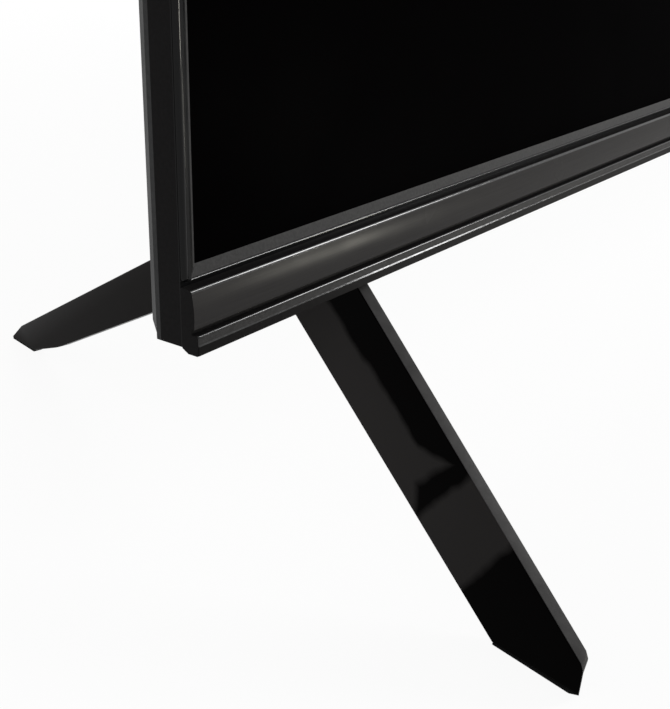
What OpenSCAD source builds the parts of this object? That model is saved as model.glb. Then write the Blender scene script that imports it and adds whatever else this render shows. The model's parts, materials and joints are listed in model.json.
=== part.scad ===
// Flat screen television on two plate feet, with its backlight, boards, speakers and keys.
// Millimetres, +Z up, front towards -Y, origin on the floor under the middle of the stance.
// Pieces of the set are drawn with x across, y as depth behind the chin bar and z above its bottom.

/* [Picture] */
// Width of the lit picture
picture_w = 940; // [900:1:980]
// Height of the lit picture
picture_h = 528.8; // [500:0.1:560]
// Black border between the lit picture and the lip
border = 3.5; // [1:0.1:6]

/* [Front frame] */
// Bezel width at the sides and top, outer wall to visible glass
bezel_w = 5.7; // [5:0.1:9]
// Width of the sloping lip round the glass
lip_w = 2.5; // [1:0.1:3]
// Depth over which the lip slopes back to the glass
lip_drop = 1; // [0.5:0.1:2]
// Height of the step between the frame face and the lip
lip_step = 0.4; // [0.2:0.1:1]
// Width of the round bead along the sides and top
bead_w = 1.9; // [1:0.1:2.4]
// Depth of the side wall from the frame face to the seam
side_depth = 7.2; // [6.6:0.1:12]
// Wall of the front frame
frame_wall = 1.8; // [1.2:0.1:2]
// Radius of the outer corners of the set
corner_r = 0.6; // [0.4:0.1:3]
// Height from the bottom of the chin bar to the visible glass
chin_h = 17.1; // [16.4:0.1:24]
// Height of the frame's bottom edge above the bottom of the chin bar
frame_lift = 1; // [0.5:0.1:2]

/* [Chin bar] */
// Height of the chin bar
chin_bar_h = 13.6; // [12:0.1:14]
// Depth of the chin bar in front of the frame face
chin_depth = 4.3; // [3.5:0.1:8]
// Setback of the chin face behind the bead
chin_setback = 0.9; // [0.3:0.1:1.4]
// Lean of the chin face over its height
chin_lean = 0.4; // [0:0.1:1]
// Lower edge of the flat bead
chin_bead_low = 2; // [1:0.1:2.6]
// Upper edge of the flat bead
chin_bead_top = 3.9; // [3:0.1:4.4]
// Upper edge of the groove above the bead
chin_groove_top = 5.4; // [4.8:0.1:7]
// Depth of that groove
chin_groove_d = 1.8; // [1:0.1:2.8]
// Radius of the round-over along the top of the chin face
chin_top_r = 0.7; // [0.3:0.1:1]
// Radius of the upright corners at the ends of the chin bar
chin_end_r = 0.8; // [0.4:0.1:2]
// Height of the crown of the chin face
chin_crown = 0.3; // [0.1:0.05:0.6]
// Depth of the flat sole under the chin bar
chin_sole = 2.7; // [2:0.1:3]

/* [Display stack] */
// Thickness of the glass cell
cell_t = 1.4; // [1:0.1:2]
// Glass hidden behind the lip on each side
cell_overlap = 1.5; // [0.8:0.1:1.8]
// Thickness of the ledge that carries the glass
ledge_t = 1.6; // [1:0.1:2]
// Thickness of the prism sheet
prism_t = 0.4; // [0.2:0.1:0.6]
// Thickness of the diffuser plate
diffuser_t = 1.5; // [1:0.1:2]
// Depth of the light space between reflector and diffuser
light_space = 16; // [13:0.5:20]
// Sheet steel of the backlight tray
tray_t = 0.8; // [0.6:0.1:1.2]
// Width over which the tray walls slope in
tray_slope = 32; // [24:1:40]
// Number of light bars
bar_n = 4; // [3:1:5]
// Number of lenses on each bar
lens_n = 10; // [6:1:12]
// Height of a light bar
bar_h = 14; // [12:1:18]
// Radius of a lens
lens_r = 6.5; // [5:0.5:6.5]

/* [Rear cover] */
// Wall of the rear cover
cover_wall = 2.2; // [1.8:0.1:2.8]
// Depth of the sloping rim behind the seam
rim_depth = 2.9; // [2:0.1:6]
// How far the rim slopes in
rim_inset = 2; // [1:0.1:3]
// Depth of the thin upper back behind the chin front
back_depth = 34; // [33:0.5:37]
// How far the upper back slopes in
back_inset = 40; // [30:1:50]
// Depth of the lower housing behind the chin front
house_depth = 76; // [74:0.5:86]
// Height of the lower housing at its foot
house_h = 400; // [392:1:420]
// How far its top slopes down towards the back
house_top_slope = 56; // [40:1:60]
// Side inset of the housing at its foot
house_in = 8; // [6:1:12]
// Side inset of the housing at its back face
house_back_in = 66; // [64:1:70]
// Chamfer round the back face of the housing
house_edge = 6; // [3:0.5:8]
// Number of vent slots in each of the two fields
vent_n = 18; // [8:1:20]
// Distance between vent slots
vent_pitch = 10; // [8:0.5:11]
// Width of a vent slot
vent_w = 4; // [2:0.5:5]
// Length of a vent slot
vent_l = 26; // [16:1:32]

/* [Wall mount] */
// Spacing of the wall mount holes across
mount_x = 200; // [180:1:220]
// Spacing of the wall mount holes upwards
mount_z = 200; // [190:1:210]
// Distance from the top of the housing down to the middle of the wall mount pattern
mount_mid = 185; // [175:1:195]
// Bore radius of a wall mount boss
mount_bore_r = 2.5; // [2:0.1:3.5]
// Outer radius of a wall mount boss
mount_boss_r = 7; // [5:0.5:9]
// Depth of the bore
mount_bore_l = 20; // [12:1:30]

/* [Boards and sockets] */
// Thickness of a circuit board
board_t = 1.6; // [1:0.1:2]
// Length of the standoffs under the boards
standoff_l = 6; // [5:0.5:8]
// Width of the main board
main_w = 180; // [160:1:200]
// Height of the main board
main_h = 156; // [152:1:170]
// Distance from the side of the set to the socket wall
socket_inset = 107; // [100:1:115]
// Bottom of the socket recess
recess_low = 75; // [72:1:80]
// Height of the socket recess
recess_h = 150; // [146:1:160]
// Width of the power board
power_w = 190; // [170:1:200]
// Height of the power board
power_h = 150; // [130:1:160]
// Distance from the side of the set to the middle of the mains inlet
inlet_inset = 148.2; // [130:0.1:160]

/* [Keys] */
// Width of a key
key_w = 9; // [7:0.5:10]
// Length of a key from front to back
key_l = 6; // [5:0.5:8]
// Distance between keys
key_pitch = 14; // [13:0.5:16]
// How far a key stands out of the cover
key_proud = 1.4; // [0.9:0.1:2]
// Travel of a key
key_travel = 0.7; // [0.4:0.1:0.8]

/* [Speakers] */
// Distance from the side of the set to the middle of a speaker
speaker_inset = 169; // [165:1:180]
// Width of a speaker box
speaker_w = 130; // [100:1:134]
// Depth of a speaker box
speaker_d = 36; // [34.5:0.5:37]
// Height of a speaker box
speaker_h = 44; // [40:1:48]
// Radius of the speaker cone
cone_r = 13.4; // [12.5:0.1:13.6]

/* [Feet] */
// Height of the chin bar's bottom above the floor
stand_h = 75.2; // [65:0.1:90]
// Distance from the side of the set to the outer face of a foot
foot_inset = 64.7; // [60:0.1:70]
// Depth of the foot's middle behind the chin front
foot_d = 31.9; // [31:0.1:34]
// Angle by which the front toes point outwards
toe_out = 12.8; // [8:0.1:14]
// Thickness of the foot plate
foot_t = 3.6; // [2.5:0.1:4]
// Reach of the front toe from the foot's middle
front_reach = 103.6; // [95:0.1:120]
// Reach of the rear toe from the foot's middle
rear_reach = 163; // [140:0.5:175]
// Length of the plate's top edge under the set
foot_top = 54; // [48:0.5:55]
// Length of the front toe
front_toe = 24.3; // [20:0.1:30]
// Length of the rear toe
rear_toe = 16.5; // [14:0.1:20]
// Depth of the web between the legs
web_h = 6.4; // [5:0.1:9]
// Length of the foot flange
flange_l = 38; // [34:0.5:40]
// Width of the foot flange
flange_w = 24; // [20:0.5:26]
// Thickness of the rubber pads
pad_t = 0.6; // [0.5:0.1:1.5]

/* [Hidden] */
$fn = 48;
eps = 0.02;
// Clearances between pieces that slide past each other, and between a hole and what goes through it
gap = 0.3;
hole_gap = 0.4;
// How far a cut runs past the piece that it cuts
over = 1;

// The set's outline and the glass opening
opening_w = picture_w + 2*border;
opening_h = picture_h + 2*border;
set_w = opening_w + 2*bezel_w;
set_h = opening_h + bezel_w + chin_h;
mid_h = chin_h + opening_h/2;

// Depths behind the front of the chin bar
frame_front = chin_depth;
glass_front = frame_front + lip_step + lip_drop;
glass_back = glass_front + cell_t;
ledge_back = glass_back + ledge_t;
prism_back = ledge_back + prism_t;
tray_front = prism_back + diffuser_t;
seam = frame_front + side_depth;
tray_floor = tray_front + light_space;
tray_back = tray_floor + tray_t;
board_front = tray_back + standoff_l;
board_back = board_front + board_t;
rim_back = seam + rim_depth;

// Heights above the bottom of the chin bar
frame_floor = frame_lift + frame_wall;
underside = frame_lift + rim_inset;
cover_floor = underside + cover_wall;

// Outline of the display pieces inside the front frame
stack_in = frame_wall + gap;
sheet_wall = 2.4;
sheet_in = stack_in + sheet_wall;
notch_room = 9;
notch_top = 9;

// Place of the set over the feet
foot_y = ((front_reach - rear_reach)*cos(toe_out) + foot_t*sin(toe_out))/2;
front_y = foot_y - foot_d;

// Draws a set piece in its place over the floor
module in_set() {
  translate([0, front_y, stand_h]) children();
}

// Extrudes an outline drawn across and upwards between two depths
module between(d0, d1) {
  translate([0, d1, 0]) rotate([90, 0, 0]) linear_extrude(d1 - d0) children();
}

// Extrudes an outline drawn in depth and height across the width, starting at x0
module across(x0, x1) {
  translate([x0, 0, 0]) rotate([90, 0, 90]) linear_extrude(x1 - x0) children();
}

// Box given by its two corners
module box(a, b) {
  translate(a) cube(b - a);
}

// Rectangle with round corners, given by its lower left and upper right corner
module round_rect(a, b, r) {
  translate(a + [r, 0]) square([b.x - a.x - 2*r, b.y - a.y]);
  translate(a + [0, r]) square([b.x - a.x, b.y - a.y - 2*r]);
  for (x = [a.x + r, b.x - r], y = [a.y + r, b.y - r])
    translate([x, y]) circle(r);
}

// Outline of the set moved in by a distance, with room for the chin at its bottom
module outline(inset, r = corner_r) {
  round_rect([-set_w/2 + inset, frame_lift + inset], [set_w/2 - inset, set_h - inset], r);
}

// The glass opening, widened on all sides
module opening(grow) {
  translate([-opening_w/2 - grow, chin_h - grow]) square([opening_w + 2*grow, opening_h + 2*grow]);
}

// Thin slice of the set's outline, for shells that slope
module slice(d, inset) {
  between(d - eps, d) outline(inset, 2*corner_r, $fn = 32);
}

// Front frame: face with a flared glass opening, side walls and beads
module front_frame() {
  color("#101112") in_set() difference() {
    union() {
      between(frame_front, seam) outline(0);
      frame_beads();
    }
    between(frame_front - bead_w, frame_front + lip_step) opening(lip_w);
    hull() {
      between(frame_front + lip_step - eps, frame_front + lip_step) opening(lip_w);
      between(glass_front, glass_front + eps) opening(0);
    }
    between(glass_front - eps, seam + 1) opening(0);
    between(glass_front, seam + 1) outline(frame_wall, corner_r/2);
    ir_slot(gap);
  }
}

// Round beads along the sides and the top of the frame, with round lower ends and corners
bead_in = 0.15;
bead_bend = 1.6;

module frame_beads() {
  bead_r = bead_w/2;
  side_x = set_w/2 - bead_r - bead_in;
  top = set_h - bead_r - bead_in;
  low = chin_bar_h + bead_w;
  for (s = [-1, 1]) {
    translate([s*side_x, frame_front, low]) cylinder(r = bead_r, h = top - bead_bend - low);
    translate([s*side_x, frame_front, low]) sphere(bead_r);
    translate([s*(side_x - bead_bend), frame_front, top - bead_bend]) rotate([90, s > 0 ? 0 : -90, 0])
      rotate_extrude(angle = 90) translate([bead_bend, 0]) circle(bead_r);
  }
  translate([bead_bend - side_x, frame_front, top]) rotate([0, 90, 0])
    cylinder(r = bead_r, h = 2*(side_x - bead_bend));
}

// Chin bar: one section run along the width, with round upright ends
module chin_bar() {
  color("#3a3b3c") in_set() intersection() {
    across(-set_w/2, set_w/2) chin_section();
    linear_extrude(chin_bar_h) translate([0, chin_depth/2])
      round_rect([-set_w/2, -chin_depth/2], [set_w/2, chin_depth*1.5], chin_end_r);
  }
}

// Section of the chin bar in depth and height, with a crowned face over a groove and a flat bead
chin_foot_in = 0.15;
heel_gap = 0.1;

module chin_section() {
  face_low = [chin_setback, chin_groove_top];
  face_top = [chin_setback + chin_lean, chin_bar_h - chin_top_r];
  difference() {
    union() {
      polygon([
        [chin_foot_in, 0], [chin_sole, 0], [chin_depth, frame_lift - heel_gap], [chin_depth, chin_bar_h],
        [face_top.x + chin_top_r, chin_bar_h], face_top, face_low, [0, chin_groove_top],
        [0, chin_bead_low]
      ]);
      translate([face_top.x + chin_top_r, face_top.y]) circle(chin_top_r);
      face_crown(face_low, face_top);
    }
    translate([-over, chin_bead_top]) square([over + chin_groove_d, chin_groove_top - chin_bead_top]);
  }
}

// Arc that stands over the chord of the chin face
module face_crown(low, top) {
  chord = norm(top - low);
  r = chord*chord/(8*chin_crown) + chin_crown/2;
  back = [top.y - low.y, low.x - top.x]/chord;
  intersection() {
    translate((low + top)/2 + back*(r - chin_crown)) circle(r);
    polygon([low + back, top + back, top - back, low - back]);
  }
}

// Glass cell
module lcd_panel() {
  color("#020203") in_set() between(glass_front, glass_back) opening(cell_overlap);
}

// Moulded frame that carries the glass on a ledge and holds the sheets behind it
module panel_frame() {
  color("#2b2c2e") in_set() difference() {
    between(glass_back, tray_front) outline(stack_in, corner_r/2);
    between(glass_back - 1, ledge_back + 1) opening(-border/2);
    between(ledge_back, tray_front + 1) outline(sheet_in, corner_r/2);
    between(0, tray_back) low_notches();
  }
}

// Passages under the display pieces for the panel ribbon and the receiver
module low_notches() {
  for (n = [[ribbon_x, ribbon_w], [0, ir_w]])
    translate([n.x - n.y/2 - notch_room, 0]) square([n.y + 2*notch_room, notch_top]);
}

// Sheets and plates that fill the panel frame
module sheet_outline() {
  difference() {
    outline(sheet_in + gap, corner_r/2);
    low_notches();
  }
}

module prism_sheet() {
  color("#d9dde0") in_set() between(ledge_back, prism_back) sheet_outline();
}

module diffuser_plate() {
  color("#f2f3f1") in_set() between(prism_back, tray_front) sheet_outline();
}

// Long board on the lower bar of the panel frame
driver_w = picture_w*0.62;
driver_low = frame_floor + 2;
driver_top = chin_h - cell_overlap - 2.6;
driver_front = glass_back - 1;

module panel_driver_board() {
  color("#1d5b3a") in_set() {
    box([-driver_w/2, driver_front, driver_low], [driver_w/2, glass_back, driver_top]);
  }
}

// Films that join the driver board to the lower edge of the glass
film_n = 8;
film_w = 34;
film_t = 0.15;

module panel_films() {
  color("#8a5a1c") in_set() for (i = [0:film_n - 1]) {
    x = driver_w*((i + 0.5)/film_n - 0.5);
    box([x - film_w/2, driver_front - film_t, driver_top - 3],
        [x + film_w/2, driver_front, chin_h - cell_overlap]);
  }
}

// Ribbon from the timing board down and forward to the driver board
ribbon_t = 0.3;
ribbon_w = 52;
ribbon_x = -60;
ribbon_z = driver_low + 1;
ribbon_hold = 5;
timing_w = 110;
timing_h = 46;
board_room = 8;
mount_h = house_h - mount_mid;
timing_low = mount_h - mount_z/2 + mount_boss_r + board_room;

module panel_ribbon() {
  color("#e8e6df") in_set() across(ribbon_x - ribbon_w/2, ribbon_x + ribbon_w/2) {
    translate([glass_back, ribbon_z]) square([board_front - glass_back, ribbon_t]);
    translate([board_front - ribbon_t, ribbon_z]) square([ribbon_t, timing_low + ribbon_hold - ribbon_z]);
  }
}

module timing_board() {
  color("#1b5b3c") in_set() board_plate([ribbon_x - timing_w/2, timing_low], timing_w, timing_h);
}

// Places of the lenses on the light bars
bar_end = 25;
bar_w = picture_w - 2*(tray_slope + bar_end);
bar_pitch = (picture_h - 2*tray_slope)/bar_n;
lens_pitch = bar_w/lens_n;
bar_t = 1.2;
reflector_t = 0.4;
reflector_in = 4;

function bar_z(i) = mid_h + bar_pitch*(i - (bar_n - 1)/2);
function lens_x(j) = lens_pitch*(j - (lens_n - 1)/2);

module led_bars() {
  color("#e9e7dd") in_set() for (i = [0:bar_n - 1])
    box([-bar_w/2, tray_floor - bar_t, bar_z(i) - bar_h/2], [bar_w/2, tray_floor, bar_z(i) + bar_h/2]);
}

// Lens that spreads the light sideways: a straight foot, a domed side and a dished top
lens_foot = 1.6;
lens_dome = [0.8, 3.8];
lens_top = [0.3, 4.6];
lens_dish = 4.2;

module led_lenses() {
  color("#f4f7fb") in_set() for (i = [0:bar_n - 1], j = [0:lens_n - 1])
    translate([lens_x(j), tray_floor - bar_t, bar_z(i)]) rotate([90, 0, 0]) rotate_extrude() polygon([
      [0, 0], [lens_r, 0], [lens_r, lens_foot], [lens_r*lens_dome.x, lens_dome.y],
      [lens_r*lens_top.x, lens_top.y], [0, lens_dish]
    ]);
}

// White sheet over the light bars, with a hole round each lens
module reflector_sheet() {
  color("#fbfbf8") in_set() between(tray_floor - bar_t - reflector_t, tray_floor - bar_t) difference() {
    outline(sheet_in + tray_slope + reflector_in, corner_r);
    for (i = [0:bar_n - 1], j = [0:lens_n - 1])
      translate([lens_x(j), bar_z(i)]) circle(lens_r + gap);
  }
}

// Steel tray: flange behind the diffuser, sloping walls and a flat back
flange_in = 11;
tray_room = 1.2;

module tray_solid(grow, d_back) {
  hull() {
    between(tray_front, tray_front + eps) outline(sheet_in + flange_in - grow, corner_r);
    between(d_back - eps, d_back) outline(sheet_in + tray_slope - grow, corner_r);
  }
}

module backlight_tray() {
  color("#b9bcbe") in_set() difference() {
    union() {
      between(tray_front, tray_front + tray_t) outline(stack_in + gap + tray_room, corner_r/2);
      tray_solid(tray_t, tray_back);
    }
    tray_solid(0, tray_floor);
    between(tray_front - over, tray_front + eps) outline(sheet_in + flange_in, corner_r);
    between(0, tray_back) low_notches();
    for (p = cover_screw_places())
      translate([p.x, tray_back + over, p.y]) rotate([90, 0, 0])
        cylinder(r = screw_r + thread_gap, h = tray_t + 2*over);
  }
}

// Steel tubes that carry the wall mount's screws
function mount_places() = [for (sx = [-1, 1], sz = [-1, 1]) [sx*mount_x/2, mount_h + sz*mount_z/2]];

module wall_mount_bosses() {
  color("#9da0a3") in_set() for (p = mount_places())
    translate([p.x, house_depth, p.y]) rotate([90, 0, 0]) difference() {
      cylinder(r = mount_boss_r, h = house_depth - tray_back);
      translate([0, 0, -over]) cylinder(r = mount_bore_r, h = mount_bore_l + over);
    }
}

// Screws sunk in wells of the thin upper back, through its bosses into the tray
screw_r = 1.5;
screw_head_r = 3.2;
screw_head_h = 1.8;
thread_gap = 0.1;
well_r = screw_head_r + 1;
well_d = 2.4;
boss_r = well_r + 2;
screw_side = 96;
screw_mid = 125;
screw_drop = 24;
screw_rise = 20;

function cover_screw_places() = [
  for (x = [-1, 1]*(set_w/2 - screw_side)) [x, set_h - back_inset - screw_drop],
  for (x = [-1, 1]*screw_mid) [x, set_h - back_inset - screw_drop],
  for (x = [-1, 1]*(set_w/2 - screw_side)) [x, house_h + screw_rise]
];

module rear_cover_screws() {
  head_back = back_depth - well_d + screw_head_h;
  color("#1b1c1e") in_set() for (p = cover_screw_places())
    translate([p.x, head_back, p.y]) rotate([90, 0, 0]) {
      cylinder(r = screw_head_r, h = screw_head_h);
      cylinder(r = screw_r, h = head_back - tray_floor - thread_gap);
    }
}

// Outside of the rear cover, or its inside when moved in by the wall
seam_step = 0.2;
house_r = 10;

module cover_form(wall) {
  hull() {
    slice(seam + eps, seam_step + wall);
    slice(rim_back, rim_inset + wall);
  }
  hull() {
    slice(rim_back, rim_inset + wall);
    slice(back_depth - wall, back_inset + wall);
  }
  hull() {
    house_slice(rim_back, house_in + wall, underside + wall, house_h - wall);
    house_slice(house_depth - house_edge - wall, house_side(house_edge) + wall, underside + wall,
                house_top(house_edge) - wall);
    house_slice(house_depth - wall, house_back_in + house_edge/2 + wall, underside + house_edge/2 + wall,
                house_h - house_top_slope - house_edge/2 - wall);
  }
}

// Slope of the housing at a distance in front of its back face
function house_side(d) = house_back_in - (house_back_in - house_in)*d/(house_depth - rim_back);
function house_top(d) = house_h - house_top_slope + house_top_slope*d/(house_depth - rim_back);

module house_slice(d, inset, low, top) {
  between(d - eps, d) round_rect([-set_w/2 + inset, low], [set_w/2 - inset, top], house_r, $fn = 32);
}

// Recess in the left of the housing that the sockets open into
socket_x = -(set_w/2 - socket_inset);
recess_drop = 4;
recess_floor = board_back - recess_drop;

module socket_recess(grow) {
  box([-set_w, recess_floor - grow, recess_low - grow],
      [socket_x + grow, house_depth + over, recess_low + recess_h + grow]);
}

module rear_cover() {
  color("#232425") in_set() difference() {
    union() {
      difference() {
        cover_form(0);
        difference() {
          cover_form(cover_wall);
          socket_recess(cover_wall);
        }
        between(seam - over, seam + 2*eps) outline(cover_wall + seam_step);
      }
      for (p = cover_screw_places()) translate([p.x, back_depth - cover_wall/2, p.y]) rotate([90, 0, 0])
        cylinder(r = boss_r, h = back_depth - cover_wall/2 - tray_back);
      key_posts();
    }
    socket_recess(0);
    socket_windows();
    vent_slots();
    sound_slots();
    for (p = cover_screw_places()) translate([p.x, back_depth + over, p.y]) rotate([90, 0, 0]) {
      cylinder(r = screw_r + gap, h = back_depth + over);
      cylinder(r = well_r, h = well_d + over);
    }
    for (p = mount_places()) translate([p.x, house_depth + over, p.y]) rotate([90, 0, 0])
      cylinder(r = mount_boss_r + hole_gap, h = 2*cover_wall + over);
    inlet_window();
    for (i = [0:key_n - 1]) key_hole(i);
    for (s = [-1, 1]) foot_screw_holes(s);
  }
}

// Upright slots in the back face: two fields beside the upper wall mount bosses and one along its foot
vent_edge = 14;
vent_room = 16;
intake_low = 22;

module vent_slots() {
  field_x = mount_x/2 + 2*mount_boss_r + vent_room;
  high = house_h - house_top_slope - house_edge - vent_l - vent_edge;
  between(house_depth - 2*cover_wall, house_depth + over) for (i = [0:vent_n - 1]) {
    for (s = [-1, 1]) translate([s*(field_x + i*vent_pitch), high]) vent_slot();
    translate([vent_pitch*(i - (vent_n - 1)/2), intake_low]) vent_slot();
  }
}

module vent_slot() {
  round_rect([-vent_w/2, 0], [vent_w/2, vent_l], vent_w/2 - eps);
}

// Slots in the underside below each speaker
sound_n = 9;
sound_pitch = 3.4;
sound_w = 1.8;
sound_out = 2;

module sound_slots() {
  for (s = [-1, 1], i = [0:sound_n - 1]) {
    x = s*speaker_x + sound_pitch*(i - (sound_n - 1)/2);
    half = sqrt(pow(cone_r + sound_out, 2) - pow(x - s*speaker_x, 2));
    box([x - sound_w/2, speaker_y - half, underside - over],
        [x + sound_w/2, speaker_y + half, cover_floor + over]);
  }
}

// Depth, height and width of each socket on the main board
hdmi = [12, 5.8, 15];
usb = [14, 6, 13.4];
network = [21, 13.5, 16];
antenna = [12, 14, 14];
headphone = [13, 8, 9];

// Standoffs and screws that hold the boards to the tray
main_x = socket_x + cover_wall + hole_gap;
main_low = recess_low + recess_h/2 - main_h/2;
power_x = mount_x/2 + mount_boss_r + board_room;
power_rise = 12;
power_low = cover_floor + speaker_h + power_rise;
standoff_r = 3.2;
board_hole_in = 6;
thread_r = 1.3;
board_head_r = 2.8;
board_head_h = 1.6;
board_tip = 1.2;

// Hole places of a board, whose left holes stand further in where sockets line its edge
function board_corners(a, w, h, left = board_hole_in) = [
  for (x = [a.x + left, a.x + w - board_hole_in], z = [a.y + board_hole_in, a.y + h - board_hole_in]) [x, z]
];
main_left = network.x + board_head_r;

function standoff_places() = concat(
  board_corners([main_x, main_low], main_w, main_h, main_left),
  board_corners([power_x, power_low], power_w, power_h),
  board_corners([ribbon_x - timing_w/2, timing_low], timing_w, timing_h)
);

module board_standoffs() {
  color("#a8abad") in_set() for (p = standoff_places())
    translate([p.x, board_front, p.y]) rotate([90, 0, 0]) difference() {
      cylinder(r = standoff_r, h = standoff_l);
      translate([0, 0, -over]) cylinder(r = thread_r + thread_gap, h = standoff_l);
    }
}

module board_screws() {
  color("#c3c6c8") in_set() for (p = standoff_places())
    translate([p.x, board_back + board_head_h, p.y]) rotate([90, 0, 0]) {
      cylinder(r = board_head_r, h = board_head_h);
      cylinder(r = thread_r, h = board_head_h + board_t + standoff_l - board_tip);
    }
}

// Bare board with a hole at each corner
module board_plate(a, w, h, left = board_hole_in) {
  difference() {
    box([a.x, board_front, a.y], [a.x + w, board_back, a.y + h]);
    for (p = board_corners(a, w, h, left)) translate([p.x, board_back + over, p.y]) rotate([90, 0, 0])
      cylinder(r = thread_r + 2*thread_gap, h = board_t + 2*over);
  }
}

module main_board() {
  color("#14503a") in_set() board_plate([main_x, main_low], main_w, main_h, main_left);
}

// Finned cooler on the processor
module processor_heatsink() {
  side = 56;
  base_t = 3;
  fin_h = 13;
  fin_t = 1.4;
  fin_n = 9;
  x0 = main_x + main_w/2 - side/2;
  z0 = main_low + main_h/2 - side/2;
  color("#8f9295") in_set() {
    box([x0, board_back, z0], [x0 + side, board_back + base_t, z0 + side]);
    for (i = [0:fin_n - 1]) {
      x = x0 + i*(side - fin_t)/(fin_n - 1);
      box([x, board_back + base_t - eps, z0], [x + fin_t, board_back + fin_h, z0 + side]);
    }
  }
}

// Sockets along the edge of the main board, opening towards the side of the set
socket_proud = 0.6;
hdmi_z = [0.1, 0.25];
usb_z = [0.4, 0.535];
network_z = 0.68;
antenna_z = 0.825;
headphone_z = 0.92;

function socket_height(share) = recess_low + recess_h*share;

// Places a socket whose mouth is at x = 0 and whose foot is at y = 0
module at_socket(share) {
  translate([socket_x - socket_proud, board_back, socket_height(share)]) children();
}

// Shell with an open mouth and a tongue inside
tongue_in = 1.2;

module tongue_shell(size, wall, tongue) {
  difference() {
    translate([0, 0, -size.z/2]) cube(size);
    translate([-1, wall, -size.z/2 + wall]) cube([size.x - wall + 1, size.y - 2*wall, size.z - 2*wall]);
  }
  translate([tongue_in, size.y/2 - tongue.y/2, -tongue.x/2])
    cube([size.x - tongue_in - wall/2, tongue.y, tongue.x]);
}

module hdmi_sockets() {
  color("#b3b5b7") in_set() for (share = hdmi_z) at_socket(share) tongue_shell(hdmi, 0.5, [11, 1.2]);
}

module usb_sockets() {
  color("#b8babc") in_set() for (share = usb_z) at_socket(share) tongue_shell(usb, 0.4, [10.5, 1.8]);
}

// Network socket: the plug's space and a slot below it for the plug's latch
plug = [13, 8.4, 11.8];
plug_low = 3;
latch = [13, 2.4, 6];
latch_low = 1.2;

module network_socket() {
  color("#a9abad") in_set() at_socket(network_z) difference() {
    translate([0, 0, -network.z/2]) cube(network);
    translate([-over, plug_low, -plug.z/2]) cube(plug + [over, 0, 0]);
    translate([-over, latch_low, -latch.z/2]) cube(latch + [over, 0, 0]);
  }
}

// Round aerial socket on a block, with a centre hole
antenna_r = 4.75;
antenna_l = 9;
antenna_bore = [1, 8];

module antenna_socket() {
  color("#c4c6c8") in_set() at_socket(antenna_z) difference() {
    union() {
      translate([0, 0, -antenna.z/2]) cube(antenna);
      translate([-antenna_l, antenna.y/2, 0]) rotate([0, 90, 0])
        cylinder(r = antenna_r, h = antenna_l + over);
    }
    translate([-antenna_l - over, antenna.y/2, 0]) rotate([0, 90, 0])
      cylinder(r = antenna_bore.x, h = antenna_bore.y + over);
  }
}

headphone_r = 1.8;
headphone_l = 11;

module headphone_socket() {
  color("#161719") in_set() at_socket(headphone_z) difference() {
    translate([0, 0, -headphone.z/2]) cube(headphone);
    translate([-over, headphone.y/2, 0]) rotate([0, 90, 0])
      cylinder(r = headphone_r, h = headphone_l + over);
  }
}

// Windows for the sockets in the wall of the recess
module socket_window(share, size) {
  translate([socket_x - over, board_back - hole_gap, socket_height(share) - size.z/2 - hole_gap])
    cube([cover_wall + 2*over, size.y + 2*hole_gap, size.z + 2*hole_gap]);
}

module socket_windows() {
  for (share = hdmi_z) socket_window(share, hdmi);
  for (share = usb_z) socket_window(share, usb);
  socket_window(network_z, network);
  socket_window(antenna_z, antenna);
  socket_window(headphone_z, headphone);
}

module power_board() {
  color("#7a5a22") in_set() board_plate([power_x, power_low], power_w, power_h);
}

// Wound transformer with a split core
module transformer() {
  core = [44, 30, 40];
  limb = 7;
  yoke = 8;
  coil_in = 2;
  place = [80, 68];
  color("#3c3a36") in_set() translate([power_x + place.x, board_back, power_low + place.y]) {
    difference() {
      cube(core);
      translate([limb, -over, yoke]) cube([core.x - 2*limb, core.y + 2*over, core.z - 2*yoke]);
    }
    translate([core.x/2, core.y/2, yoke - eps])
      cylinder(r = core.y/2 - coil_in, h = core.z - 2*yoke + 2*eps);
  }
}

module mains_capacitors() {
  cap_r = 9;
  cap_l = 30;
  cap_n = 3;
  cap_pitch = 2*cap_r + 3.6;
  cap_rim = [1.2, 2];
  place = [30, 30];
  color("#22304f") in_set() for (i = [0:cap_n - 1])
    translate([power_x + place.x + i*cap_pitch, board_back, power_low + place.y]) rotate([-90, 0, 0]) {
      cylinder(r = cap_r, h = cap_l - cap_rim.y);
      cylinder(r = cap_r - cap_rim.x, h = cap_l);
    }
}

// Mains inlet for a two pin plug, set into the back face of the housing
inlet_x = set_w/2 - inlet_inset;
inlet_rise = 36;
inlet_z = power_low + inlet_rise;
inlet_w = 20;
inlet_h = 12;
inlet_depth = 12;
inlet_lobe_r = 3.9;
inlet_pin_x = 4.3;
inlet_body = 20;
inlet_r = 2;
inlet_waist = 0.85;
inlet_pin_r = 1.2;
inlet_pin_short = 2.5;

// Outline of the inlet's mouth
module inlet_mouth() {
  for (s = [-1, 1]) translate([s*inlet_pin_x, 0]) circle(inlet_lobe_r);
  translate([-inlet_pin_x, -inlet_lobe_r*inlet_waist])
    square([2*inlet_pin_x, 2*inlet_lobe_r*inlet_waist]);
}

module mains_inlet() {
  lug = 5;
  lug_t = 2;
  inside = house_depth - cover_wall;
  color("#0f1011") in_set() translate([inlet_x, 0, inlet_z]) difference() {
    union() {
      between(house_depth - inlet_body, house_depth)
        round_rect([-inlet_w/2, -inlet_h/2], [inlet_w/2, inlet_h/2], inlet_r);
      between(inside - lug_t, inside)
        round_rect([-inlet_w/2 - lug, -inlet_h/2 - lug], [inlet_w/2 + lug, inlet_h/2 + lug], inlet_r);
    }
    between(house_depth - inlet_depth, house_depth + over) inlet_mouth();
  }
}

module inlet_window() {
  translate([inlet_x, 0, inlet_z]) between(house_depth - 2*cover_wall, house_depth + over)
    round_rect([-inlet_w/2 - gap, -inlet_h/2 - gap], [inlet_w/2 + gap, inlet_h/2 + gap], inlet_r + gap);
}

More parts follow.
